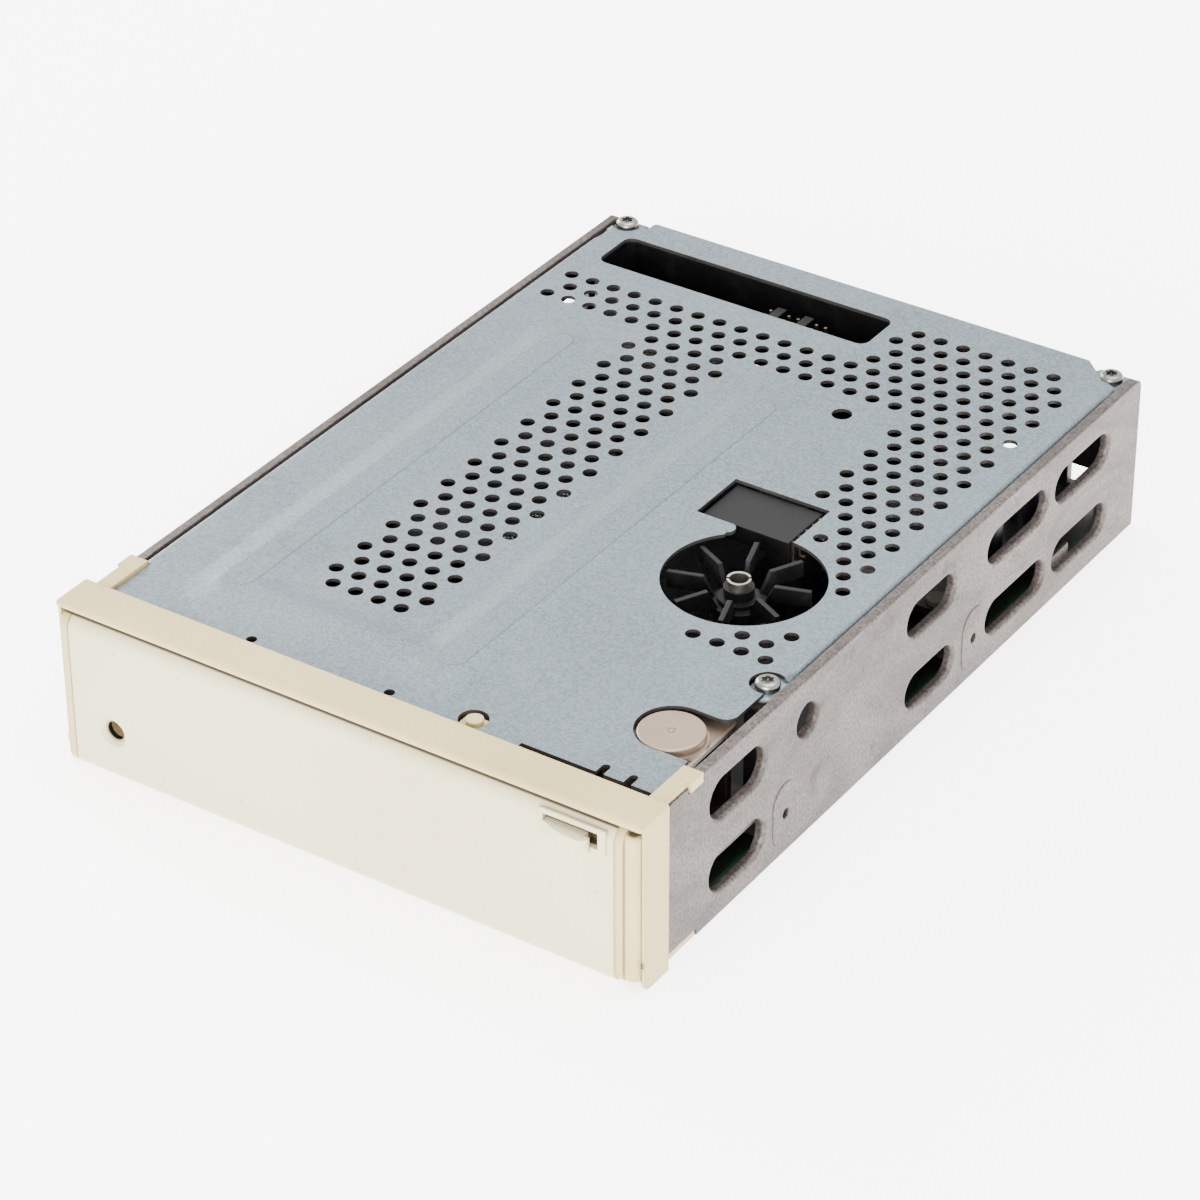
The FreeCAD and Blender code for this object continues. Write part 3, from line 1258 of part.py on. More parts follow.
def board_link():
    """Upright connector between the servo board and the main board."""
    return box(servo_x0 + 3.0, servo_x1 - 3.4, 176.0, 179.6, board_z + board_t, servo_z)


tongue_y0 = chassis_depth - 9.0
scsi_x0 = -20.5
scsi_x1 = scsi_x0 + 50.0
power_y0 = chassis_depth - 16.5
power_x0 = -(half_width - 11.025)
power_x1 = power_x0 + 24.0
rear_windows = [(power_x1 + 4.8, scsi_x0 - 4.7, 8.0, 13.0), (bay_x1 + 2.6, bay_x1 + 10.6, 8.4, 13.0),
                (ledge_x - 9.4, ledge_x - 2.0, 6.8, 12.6)]


def scsi_shell():
    """Wide rear data connector: moulded body with a D-shaped metal-lined socket."""
    z0 = board_z + board_t
    body = box(scsi_x0, scsi_x1, chassis_depth - 14.5, chassis_depth - 3.5, z0, z0 + socket_h)
    nose = round_slab(scsi_x0 + 3, scsi_x1 - 3, z0 + 1.4, z0 + 7.8, 2.4, -chassis_depth - 0.5, -chassis_depth + 3.9)
    nose.rotate(V(0, 0, 0), ALONG_X, 90)
    hollow = round_slab(scsi_x0 + 3.8, scsi_x1 - 3.8, z0 + 2.2, z0 + 7.0, 1.8, -chassis_depth - 1.0, -tongue_y0)
    hollow.rotate(V(0, 0, 0), ALONG_X, 90)
    return union([body, nose]).cut(hollow)


def scsi_tongue():
    """Insulating tongue with its two rows of contacts, inside the data connector."""
    z = board_z + board_t + 4.6
    tongue = box(scsi_x0 + 5.6, scsi_x1 - 5.6, tongue_y0, chassis_depth - 0.9, z - 0.8, z + 0.8)
    contacts = []
    for k in range(30):
        x = scsi_x0 + 7.2 + 1.23 * k
        contacts.append(box(x - 0.3, x + 0.3, tongue_y0 + 1.0, chassis_depth - 1.5, z - 1.0, z + 1.0))
    return union([tongue] + contacts)


def power_shell():
    """Four-way power inlet with two chamfered corners."""
    z0 = board_z + board_t
    w = power_x1 - power_x0
    outline = [(power_x0, z0), (power_x1, z0), (power_x1, z0 + 8.5), (power_x1 - 2.6, z0 + 11),
               (power_x0 + 2.6, z0 + 11), (power_x0, z0 + 8.5)]
    wall = 1.4
    inner = [(power_x0 + wall, z0 + wall), (power_x1 - wall, z0 + wall), (power_x1 - wall, z0 + 8.0),
             (power_x1 - wall - 2.0, z0 + 11 - wall), (power_x0 + wall + 2.0, z0 + 11 - wall),
             (power_x0 + wall, z0 + 8.0)]
    outer_wire = Part.makePolygon([V(x, power_y0, z) for x, z in outline + outline[:1]])
    inner_wire = Part.makePolygon([V(x, power_y0 + 4.0, z) for x, z in inner + inner[:1]])
    body = Part.Face(outer_wire).extrude(V(0, 16.8, 0))
    return body.cut(Part.Face(inner_wire).extrude(V(0, 20, 0)))


def power_pins():
    z = board_z + board_t + 5.2
    x_mid = (power_x0 + power_x1) / 2
    return Part.makeCompound([rod_y(1.05, x_mid + 5.08 * k, power_y0 + 4.0, chassis_depth - 1.5, z) for k in (-1.5, -0.5, 0.5, 1.5)])


# ------------------------------------------------------------------ write the files

builders = {
    "chassis_frame": chassis_frame,
    "top_cover": top_cover,
    "cover_screws": cover_screws,
    "rear_well": rear_well,
    "option_header": option_header,
    "option_jumpers": option_jumpers,
    "front_bezel": front_bezel,
    "door_panel": door_panel,
    "door_carrier": door_carrier,
    "hinge_pins": hinge_pins,
    "latch_slider": latch_slider,
    "latch_spring": latch_spring,
    "light_guide": light_guide,
    "status_lamp": status_lamp,
    "lamp_board": lamp_board,
    "lamp_board_screws": lamp_board_screws,
    "left_guide": left_guide,
    "right_guide": right_guide,
    "eject_slider": eject_slider,
    "slider_screws": slider_screws,
    "eject_springs": eject_springs,
    "lock_lever": lock_lever,
    "lever_pin": lever_pin,
    "switch_bank": switch_bank,
    "load_plunger": lambda: plunger(switch_xs[0]),
    "protect_plunger": lambda: plunger(switch_xs[1]),
    "hold_down_springs": hold_down_springs,
    "motor_base": motor_base,
    "motor_screws": motor_screws,
    "motor_bearings": motor_bearings,
    "motor_stator": motor_stator,
    "motor_windings": motor_windings,
    "capstan_rotor": capstan_rotor,
    "rotor_magnet": rotor_magnet,
    "capstan_shaft": capstan_shaft,
    "drive_roller": drive_roller,
    "roller_hub": roller_hub,
    "cooling_fan": cooling_fan,
    "tape_sensor": tape_sensor,
    "sensor_leads": sensor_leads,
    "head_bracket": head_bracket,
    "bracket_screws": bracket_screws,
    "guide_rods": guide_rods,
    "step_motor": step_motor,
    "lead_screw": lead_screw,
    "head_carriage": head_carriage,
    "tape_head": tape_head,
    "lift_spring": lift_spring,
    "main_board": main_board,
    "board_screws": board_screws,
    "board_chips": board_chips,
    "board_capacitors": board_capacitors,
    "servo_board": servo_board,
    "servo_posts": servo_posts_set,
    "servo_chips": servo_chips,
    "board_link": board_link,
    "scsi_shell": scsi_shell,
    "scsi_tongue": scsi_tongue,
    "power_inlet": power_shell,
    "power_pins": power_pins,
}


def main():
    os.makedirs("parts", exist_ok=True)
    rear = cover_y1
    front = door_front - tab_reach
    shift = V(0, -(front + rear) / 2, 0)
    for name, build in builders.items():
        shape = build()
        shape.translate(shift)
        shape.exportStep("parts/" + name + ".step")


main()
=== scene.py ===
import bpy
import json
import math
import numpy as np
from mathutils import Matrix, Vector, geometry


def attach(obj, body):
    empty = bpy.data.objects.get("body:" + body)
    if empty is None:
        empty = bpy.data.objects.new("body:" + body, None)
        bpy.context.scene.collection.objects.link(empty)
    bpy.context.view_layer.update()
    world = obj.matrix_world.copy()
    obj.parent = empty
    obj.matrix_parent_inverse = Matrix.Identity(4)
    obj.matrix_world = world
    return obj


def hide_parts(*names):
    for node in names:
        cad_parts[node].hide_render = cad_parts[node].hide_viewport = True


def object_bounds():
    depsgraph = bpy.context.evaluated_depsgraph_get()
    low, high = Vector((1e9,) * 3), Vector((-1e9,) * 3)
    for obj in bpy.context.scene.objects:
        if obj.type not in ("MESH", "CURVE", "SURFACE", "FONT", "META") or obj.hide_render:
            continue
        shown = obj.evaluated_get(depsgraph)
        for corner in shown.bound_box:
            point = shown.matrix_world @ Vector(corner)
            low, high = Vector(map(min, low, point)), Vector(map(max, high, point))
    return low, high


# Half-height cartridge tape drive: looks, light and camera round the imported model.
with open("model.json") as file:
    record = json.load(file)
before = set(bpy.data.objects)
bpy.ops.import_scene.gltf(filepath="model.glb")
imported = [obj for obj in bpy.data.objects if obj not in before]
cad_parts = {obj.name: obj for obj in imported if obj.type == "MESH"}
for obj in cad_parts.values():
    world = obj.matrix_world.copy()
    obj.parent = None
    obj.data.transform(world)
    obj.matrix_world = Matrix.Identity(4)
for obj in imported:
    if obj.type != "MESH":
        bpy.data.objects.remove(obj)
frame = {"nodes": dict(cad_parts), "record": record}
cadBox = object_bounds()
mm = 0.001
midY = -94.95          # the drive's middle lies 94.95 mm behind the bezel's rear face


def tone(red, green, blue):
    # display value v (0-255) to linear light: (v/255) to the power 2.2, per channel
    return tuple((c / 255.0) ** 2.2 for c in (red, green, blue)) + (1.0,)


class Wire:
    # wraps one output socket: arithmetic lays Math nodes, make() lays any other node
    def __init__(self, tree, socket):
        self.tree = tree
        self.socket = socket

    def make(self, kind, output=0, inputs=None, **settings):
        # lay one node: wires are linked to its inputs, plain values are set on them
        node = self.tree.nodes.new(kind)
        for name, value in settings.items():
            setattr(node, name, value)
        for key, value in (inputs or {}).items():
            if isinstance(value, Wire):
                self.tree.links.new(value.socket, node.inputs[key])
            else:
                node.inputs[key].default_value = value
        return Wire(self.tree, node.outputs[output])

    def calc(self, operation, *terms):
        # one Math node over the terms, in their order
        return self.make("ShaderNodeMath", 0, dict(enumerate(terms)), operation=operation)

    def __add__(self, other):
        return self.calc("ADD", self, other)

    def __radd__(self, other):
        return self.calc("ADD", other, self)

    def __sub__(self, other):
        return self.calc("SUBTRACT", self, other)

    def __rsub__(self, other):
        return self.calc("SUBTRACT", other, self)

    def __mul__(self, other):
        return self.calc("MULTIPLY", self, other)

    def __pow__(self, other):
        return self.calc("POWER", self, other)

    def step(self, low, high):
        # smooth step: 0 below low, 1 above high, 3t^2 - 2t^3 between
        keys = {0: self, 1: low, 2: high}
        return self.make("ShaderNodeMapRange", 0, keys, interpolation_type="SMOOTHSTEP")

    def noise(self, scale, detail=3.0, rough=0.5, warp=0.0):
        # fractal noise near 0.5: scale is waves per metre, detail the octaves, rough each octave's share
        keys = {"Vector": self, "Scale": scale, "Detail": detail, "Roughness": rough, "Distortion": warp}
        return self.make("ShaderNodeTexNoise", 0, keys)

    def cells(self, scale):
        # distance to the nearest of scattered points, scale points per metre
        return self.make("ShaderNodeTexVoronoi", 0, {"Vector": self, "Scale": scale, "Randomness": 1.0})

    def stretch(self, x, y, z, turn=0.0):
        # coordinates scaled by (x, y, z) after a turn about Z
        keys = {"Vector": self, "Rotation": (0, 0, turn), "Scale": (x, y, z)}
        return self.make("ShaderNodeMapping", 0, keys)

    def part(self, axis):
        # one coordinate: 0 is x, 1 is y, 2 is z
        return self.make("ShaderNodeSeparateXYZ", axis, {0: self})

    def blend(self, low, high):
        # colour low where the wire is 0, colour high where it is 1
        return self.make("ShaderNodeMix", 2, {0: self, 6: low, 7: high}, data_type="RGBA")


innerCase = {  # metres: where a face counts as inside the closed case and gets painted shade, each as (start, end) of a fade
    "side": (0.0696, 0.0702), "roof": (0.0352, 0.0360), "base": (0.0008, 0.0044), "rear": (0.1054, 0.1062),
}


class Finish:
    # one material: a Principled shader and the Object coordinates that its patterns read
    def __init__(self, name, metallic=0.0, roughness=0.5, **sockets):
        self.material = bpy.data.materials.new(name)
        self.material.use_nodes = True
        self.tree = self.material.node_tree
        self.shader = self.tree.nodes["Principled BSDF"]
        self.shader.inputs["Metallic"].default_value = metallic
        self.shader.inputs["Roughness"].default_value = roughness
        for key, value in sockets.items():
            self.shader.inputs[key.replace("_", " ")].default_value = value
        coordinates = self.tree.nodes.new("ShaderNodeTexCoord")
        self.place = Wire(self.tree, coordinates.outputs["Object"])

    # each of the next three links one varying wire to one socket of the shader
    def colour(self, wire):
        self.tree.links.new(wire.socket, self.shader.inputs["Base Color"])

    def rough(self, wire):
        self.tree.links.new(wire.socket, self.shader.inputs["Roughness"])

    def metal(self, wire):
        self.tree.links.new(wire.socket, self.shader.inputs["Metallic"])

    def within(self):
        # 1 inside the closed case (between the plates, above the board's underside, below the cover), else 0:
        # where painted shade darkens faces inside the case
        across = self.place.part(0).calc("ABSOLUTE", self.place.part(0))
        high = self.place.part(2)
        inner = (1.0 - across.step(*innerCase["side"])) * (1.0 - high.step(*innerCase["roof"]))
        return inner * high.step(*innerCase["base"]) * (1.0 - self.place.part(1).step(*innerCase["rear"]))

    def inBox(self, low, high, soft):
        # 1 inside the box between two corners given in mm, falling to 0 over the soft width outside it
        mask = 1.0
        for axis in range(3):
            along = self.place.part(axis)
            mask = along.step((low[axis] - soft) * mm, low[axis] * mm) * mask
            mask = (1.0 - along.step(high[axis] * mm, (high[axis] + soft) * mm)) * mask
        return mask

    def relief(self, wire, height, edge=0.0):
        # bump of the given height in metres, over an edge softened to the given radius
        keys = {"Height": wire, "Distance": height, "Strength": 1.0}
        if edge > 0:
            soft = self.place.make("ShaderNodeBevel", 0, {"Radius": edge}, samples=4)
            keys["Normal"] = soft
        bump = self.place.make("ShaderNodeBump", 0, keys)
        self.tree.links.new(bump.socket, self.shader.inputs["Normal"])


doorShade = {  # recesses of the front given painted shade: box corners in mm
    "underVisor": ((-73.8, midY - 9.7, 38.6), (73.8, midY - 0.9, 39.95)),
    "catch": ((47.0, midY - 9.4, 29.0), (67.6, midY - 0.9, 37.3)),
    "lampAxis": (-60.75, 12.65), "lampRadius": 2.5, "lampFront": midY - 8.9,
    "soft": 0.3, "lampEdge": 1.08, "lampFade": 0.6,
    "strength": 0.9, "tone": (44, 35, 28), "lampTone": (9, 8, 8),
}


def doorRecessShade(f, body):
    # painted shade in the front's recesses: body darkened where any recess mask is 1: two soft boxes, and a
    # cylinder about the lamp's axis behind the panel's front; the cylinder's mask is 1 less a step of the distance
    # over its radius
    high = f.inBox(*doorShade["underVisor"], doorShade["soft"])
    catch = f.inBox(*doorShade["catch"], doorShade["soft"])
    dx = f.place.part(0) - doorShade["lampAxis"][0] * mm
    dz = f.place.part(2) - doorShade["lampAxis"][1] * mm
    far = (dx * dx + dz * dz) ** 0.5
    radius = doorShade["lampRadius"] * mm
    front = doorShade["lampFront"] * mm
    fade = doorShade["lampFade"] * mm
    hole = (1.0 - far.step(radius, radius * doorShade["lampEdge"])) * f.place.part(1).step(front - fade, front)
    mask = hole.calc("MAXIMUM", high, catch) * doorShade["strength"]
    return hole.blend(mask.blend(body, tone(*doorShade["tone"])), tone(*doorShade["lampTone"]))


def mouldGrain(f):
    # spark-eroded skin: 0.6 of the cell distance plus 0.6 of a finer noise, as a shallow bump
    grain = f.place.cells(1500.0) * 0.6 + f.place.noise(2600.0, 2.0, 0.5) * 0.6
    f.relief(grain, 0.00003, 0.00045)


creamLook = {"base": (180, 163, 114), "aged": (169, 151, 101), "dirt": (108, 92, 64)}


def mouldedCream():
    # cream plastic: slow yellowing noise, sparse grime specks, painted shade in the front's recesses, fine
    # spark-eroded grain
    f = Finish("creamPlastic", roughness=0.5, Specular_IOR_Level=0.4)
    slow = f.place.noise(18.0, 3.0, 0.5)
    specks = f.place.noise(420.0, 2.0, 0.6).step(0.70, 0.80) * 0.35
    grime = f.place.noise(60.0, 5.0, 0.65).step(0.60, 0.82) * 0.30
    body = slow.step(0.35, 0.7).blend(tone(*creamLook["base"]), tone(*creamLook["aged"]))
    body = (specks + grime).blend(body, tone(*creamLook["dirt"]))
    # painted shade in the front's recesses: under the visor, round the catch and in the lamp hole
    f.colour(doorRecessShade(f, body))
    f.rough(0.42 + slow * 0.12 + grime * 0.3)
    mouldGrain(f)
    return f.material


paleLook = {"base": (191, 182, 149), "aged": (181, 171, 136), "dirt": (130, 116, 88), "gap": (64, 54, 42),
            "leftEdge": (-0.0713, -0.0708), "topEdge": (0.0382, 0.0390), "gapStrength": 0.85}


def mouldedPale():
    # off-white door panel: the same grain, cleaner, with faint rubbed marks, and painted shade at its left and top
    # edges and in the front's recesses
    f = Finish("palePlastic", roughness=0.5, Specular_IOR_Level=0.4)
    slow = f.place.noise(14.0, 3.0, 0.5)
    specks = f.place.noise(520.0, 1.0, 0.6).step(0.715, 0.80) * 0.45
    smudge = f.place.stretch(1.0, 1.0, 1.6).noise(38.0, 6.0, 0.7).step(0.61, 0.85) * 0.35
    body = slow.step(0.35, 0.7).blend(tone(*paleLook["base"]), tone(*paleLook["aged"]))
    body = (specks + smudge).blend(body, tone(*paleLook["dirt"]))
    # painted shade darkens the rolled edges where the panel meets its frame
    left = 1.0 - f.place.part(0).step(*paleLook["leftEdge"])
    gap = left.calc("MAXIMUM", f.place.part(2).step(*paleLook["topEdge"]), left) * paleLook["gapStrength"]
    f.colour(doorRecessShade(f, gap.blend(body, tone(*paleLook["gap"]))))
    f.rough(0.44 + slow * 0.10 + smudge * 0.3)
    mouldGrain(f)
    return f.material


sheetLook = {"base": (92, 102, 106), "dull": (81, 90, 94), "stainAndShade": (60, 63, 61), "light": (130, 141, 146),
             "creaseShade": 0.5, "metallic": 0.6, "creaseWidth": (0.00006, 0.00030), "creaseSide": (-0.0034, 0.0030),
             "creaseLeast": 0.3}


def creaseLine(f):
    # mask of a painted shade line, 1 on the line where a bead arm's flat top breaks off: distance to the arm's
    # middle segment, less its radius; the line is weaker on the arm's left side
    line = 0.0
    half = coverSheet["armHalf"]
    low = coverSheet["crest"] + half - 1.0
    high = coverSheet["armEnd"] - half
    for middle in coverSheet["arms"]:
        dx = f.place.part(0) - middle * mm
        y = f.place.part(1)
        nearest = y.calc("MINIMUM", y.calc("MAXIMUM", y, (low + midY) * mm), (high + midY) * mm)
        dy = y - nearest
        far = (dx * dx + dy * dy) ** 0.5
        off = f.place.calc("ABSOLUTE", far - half * mm)
        least = sheetLook["creaseLeast"]
        side = dx.step(*sheetLook["creaseSide"]) * (1.0 - least) + least
        line = (1.0 - off.step(*sheetLook["creaseWidth"])) * side + line
    return line


def platedSheet(name="platedSheet", creaseShade=False):
    # zinc-plated steel: long cloudy bands, fine spangle, small dark pits and faint rubbed streaks
    f = Finish(name, metallic=sheetLook["metallic"], roughness=0.44)
    cloud = f.place.stretch(1.0, 0.55, 1.0, 0.35).noise(22.0, 5.0, 0.6, 0.4)
    fine = f.place.noise(1500.0, 3.0, 0.7)
    pits = f.place.noise(700.0, 1.0, 0.5).step(0.74, 0.80) * 0.5
    stainAndShade = f.place.noise(30.0, 6.0, 0.7).step(0.56, 0.80) * 0.45
    streak = f.place.stretch(1.0, 0.06, 1.0, 0.6).noise(420.0, 2.0, 0.5).step(0.62, 0.80) * 0.25
    body = cloud.step(0.30, 0.70).blend(tone(*sheetLook["base"]), tone(*sheetLook["dull"]))
    body = (fine.step(0.34, 0.66) * 0.42).blend(body, tone(*sheetLook["light"]))
    body = (stainAndShade + pits).blend(body, tone(*sheetLook["stainAndShade"]))
    # painted shade: a dark line in the stain colour along each bead arm's crease, weaker on the arm's left side
    if creaseShade:
        body = (creaseLine(f) * sheetLook["creaseShade"]).blend(body, tone(*sheetLook["stainAndShade"]))
    f.colour(body)
    f.rough(0.40 + cloud * 0.14 + stainAndShade * 0.3 - streak * 0.2)
    f.relief(fine * 0.5 + cloud * 1.5, 0.000025)
    return f.material


castLook = {"base": (76, 69, 65), "dark": (44, 39, 36), "bright": (96, 88, 84), "speck": (52, 47, 44),
            "inside": (15, 12, 12), "metallic": 0.65, "insideMetal": 0.15}


def castZinc():
    # pressure die casting: flow clouds, dark oxide islands, speckle and soft machining marks
    f = Finish("castZinc", metallic=castLook["metallic"], roughness=0.5)
    flow = f.place.stretch(1.0, 0.6, 1.3).noise(55.0, 6.0, 0.62, 0.8)
    island = f.place.noise(120.0, 5.0, 0.7, 0.3).step(0.55, 0.70)
    speckle = f.place.noise(1300.0, 3.0, 0.7)
    cloudy = f.place.noise(26.0, 3.0, 0.5).step(0.42, 0.66)
    body = flow.step(0.34, 0.66).blend(tone(*castLook["bright"]), tone(*castLook["base"]))
    body = (island * cloudy * 0.55).blend(body, tone(*castLook["dark"]))
    body = (speckle.step(0.42, 0.62) * 0.75).blend(body, tone(*castLook["speck"]))
    # painted shade: faces that look into the drive are darkened and made less metallic
    within = f.within()
    f.colour(within.blend(body, tone(*castLook["inside"])))
    f.metal(castLook["metallic"] - within * (castLook["metallic"] - castLook["insideMetal"]))
    f.rough(0.42 + flow * 0.16 + island * 0.1)
    f.relief(speckle * 0.7 + flow * 1.2, 0.00006, 0.0005)
    return f.material


blackLook = {"base": (8, 7, 8), "dust": (42, 39, 37)}


def blackPlastic(name="blackPlastic", lift=0.0, rough=0.5):
    # black moulding: grey dust in slow patches, fine grain
    f = Finish(name, roughness=rough, Specular_IOR_Level=0.18)
    dust = f.place.noise(90.0, 5.0, 0.65).step(0.45, 0.80) * (0.22 + lift)
    fine = f.place.noise(1800.0, 2.0, 0.6)
    f.colour((dust + fine * 0.05).blend(tone(*blackLook["base"]), tone(*blackLook["dust"])))
    f.rough(rough - 0.06 + dust * 0.8 + fine * 0.08)
    f.relief(fine, 0.00003, 0.0003)
    return f.material


def turnedSteel(name, shade, rough, metallic=1.0):
    # bright metal: fine rings and scratches with patchy dullness
    f = Finish(name, metallic=metallic, roughness=rough)
    lines = f.place.stretch(0.15, 0.15, 1.0).noise(900.0, 2.0, 0.6)
    dull = f.place.noise(160.0, 4.0, 0.6)
    dark = tuple(c * 0.72 for c in shade)
    f.colour(dull.step(0.40, 0.75).blend(tone(*shade), tone(*dark)))
    f.rough(rough - 0.08 + dull * 0.2 + lines * 0.08)
    f.relief(lines, 0.00001, 0.0002)
    return f.material


boardLook = {"mask": (24, 54, 32), "track": (12, 32, 20)}


def boardMask():
    # circuit board: green mask over faint track lines and a woven core
    f = Finish("boardMask", roughness=0.35, Coat_Weight=0.3)
    tracks = f.place.stretch(1.0, 0.12, 1.0).cells(620.0).step(0.18, 0.30)
    weave = f.place.noise(900.0, 2.0, 0.5)
    body = (tracks * 0.5 + weave * 0.15).blend(tone(*boardLook["mask"]), tone(*boardLook["track"]))
    # painted shade: faces inside the closed case are darkened
    f.colour((f.within() * 0.85).blend(body, tone(*castLook["inside"])))
    f.rough(0.30 + weave * 0.15)
    f.relief(tracks, 0.00003)
    return f.material


def plainGrain(name, shade, rough, metallic=0.0, spread=0.18, scale=300.0, dim=False):
    # moulded or drawn part in one hue: blotches of a darker shade, matching gloss changes, fine relief
    f = Finish(name, metallic=metallic, roughness=rough)
    blotch = f.place.noise(scale * 0.3, 4.0, 0.6)
    fine = f.place.noise(scale * 5.0, 2.0, 0.6)
    dark = tuple(c * (1.0 - spread) for c in shade)
    body = (blotch.step(0.35, 0.7) * 0.8 + fine * 0.2).blend(tone(*shade), tone(*dark))
    # painted shade: with dim, faces inside the closed case are darkened
    if dim:
        body = (f.within() * 0.9).blend(body, tone(*castLook["inside"]))
    f.colour(body)
    f.rough(rough - 0.05 + blotch * 0.12)
    f.relief(fine, 0.00002, 0.0002)
    return f.material


finishes = {
    "cast_metal": castZinc(),
    "plated_sheet": platedSheet(),
    "screw_steel": turnedSteel("screwSteel", (128, 128, 122), 0.26),
    "black_plastic": blackPlastic(),
    "cream_plastic": mouldedCream(),
    "pale_plastic": mouldedPale(),
    "clear_plastic": plainGrain("clearPlastic", (52, 50, 56), 0.16),
    "lamp_plastic": plainGrain("lampPlastic", (90, 150, 70), 0.3),
    "spring_steel": turnedSteel("springSteel", (170, 170, 168), 0.3),
    "board_green": boardMask(),
    "chip_black": blackPlastic("chipPackage", 0.1, 0.55),
    "can_metal": plainGrain("canSleeve", (40, 44, 70), 0.4, dim=True),
    "contact_metal": turnedSteel("contactMetal", (120, 110, 92), 0.36),
    "motor_beige": plainGrain("motorCan", (142, 123, 107), 0.36, 0.55, 0.12, 400.0, dim=True),
    "turned_steel": turnedSteel("turnedSteel", (180, 176, 168), 0.26),
    "rubber": plainGrain("driveRubber", (38, 38, 40), 0.8),
    "fan_plastic": blackPlastic("fanPlastic", 0.12, 0.5),
    "core_metal": plainGrain("coreLaminations", (120, 116, 110), 0.45, 0.8),
    "winding": plainGrain("copperWinding", (176, 104, 58), 0.35, 0.7),
    "magnet": plainGrain("ringMagnet", (58, 58, 62), 0.6),
    "brass": turnedSteel("turnedBrass", (150, 124, 70), 0.35),
    "ivory_plastic": plainGrain("ivoryPlastic", (204, 198, 176), 0.45, dim=True),
}
for part in frame["record"]["subparts"]:
    node = frame["nodes"][part["node"]]
    node.data.materials.clear()
    node.data.materials.append(finishes[part["material_slot"]])
print("finishes laid on", len(frame["nodes"]), "pieces")


coverSheet = {  # mm: top cover, remade with its pressed U-shaped bead and rolled edges
    "top": 39.65, "thick": 0.9, "left": -70.4, "right": 70.0, "roll": 1.3, "skirt": 3.4,
    "rise": 0.85, "arms": (-48.15, 7.5), "armHalf": 3.4, "armEnd": 145.2, "crest": 18.4, "joinPower": 2.5,
    "slopes": {"left": 6.0, "right": 3.0, "front": 11.2, "rear": 4.8},
    "ventRadius": 1.72, "ventStep": 3.0, "rowStep": 5.196, "gridStart": (-34.0, 35.55),
    "fan": (41.7, 80.2, 18.2), "well": (-63.0, 12.0, 180.0, 194.0, 2.5),
    "roundHoles": ((23.7, 150.6, 2.4, 28), (-32.3, 3.4, 1.2, 20), (3.5, 3.4, 1.2, 20), (23.5, 5.2, 3.3, 32)),
    "lugRadius": 5.3, "lugHole": 1.6,
    "lugs": ((67.0, 49.2, 70.2, 300.0, 63.7), (67.0, 199.0, 70.2, 202.2, 0.0), (-67.0, 199.4, -0.1, 202.2, -70.2)),
    "edgeShadeTone": (66, 62, 60), "edgeSlope": 0.05, "gridGap": 0.25, "leastArea": 1e-7,
}


def arcPoints(cx, cy, radius, start, end, count):
    # points on a circle from angle start to angle end, in degrees
    angles = np.radians(np.linspace(start, end, count))
    return np.column_stack((cx + radius * np.cos(angles), cy + radius * np.sin(angles)))


def roundPlate(x0, x1, y0, y1, radius, count=8):
    # rectangle with quarter-circle corners, counterclockwise: each centre is a corner moved in by the radius
    corners = ((x1, y0, -90, -1, 1), (x1, y1, 0, -1, -1), (x0, y1, 90, 1, -1), (x0, y0, 180, 1, 1))
    return np.vstack([arcPoints(cx + dx * radius, cy + dy * radius, radius, start, start + 90, count)
                      for cx, cy, start, dx, dy in corners])


def ventLattice():
    # every hole centre: column u steps 3 mm and row v steps 5.196 mm from the grid's start
    rows = {v: list(range(1, 8, 2)) if v % 2 else list(range(0, 9, 2)) for v in range(-1, 24)}
    rows.update({24: list(range(-10, 33, 2)), 25: list(range(-9, 32, 2)), 26: list(range(-10, 33, 2))})
    rows.update({27: list(range(17, 32, 2)), 28: list(range(18, 33, 2)), 29: list(range(17, 32, 2))})
    rows[30] = list(range(18, 31, 2))
    extras = {4: (26, 28, 30, 32), 5: (29, 31), 6: (32,), 10: (32,), 11: (31,), 12: (30, 32),
              13: (27, 29, 31), 14: (28, 30, 32), 15: (27, 29, 31)}
    extras.update({v: tuple(range(25, 32, 2)) if v % 2 else tuple(range(24, 33, 2)) for v in range(16, 24)})
    for v, more in extras.items():
        rows[v] = rows[v] + list(more)
    x0, y0 = coverSheet["gridStart"]
    step, rise = coverSheet["ventStep"], coverSheet["rowStep"]
    return [(x0 + step * u, y0 + rise * v) for v in sorted(rows) for u in rows[v]]


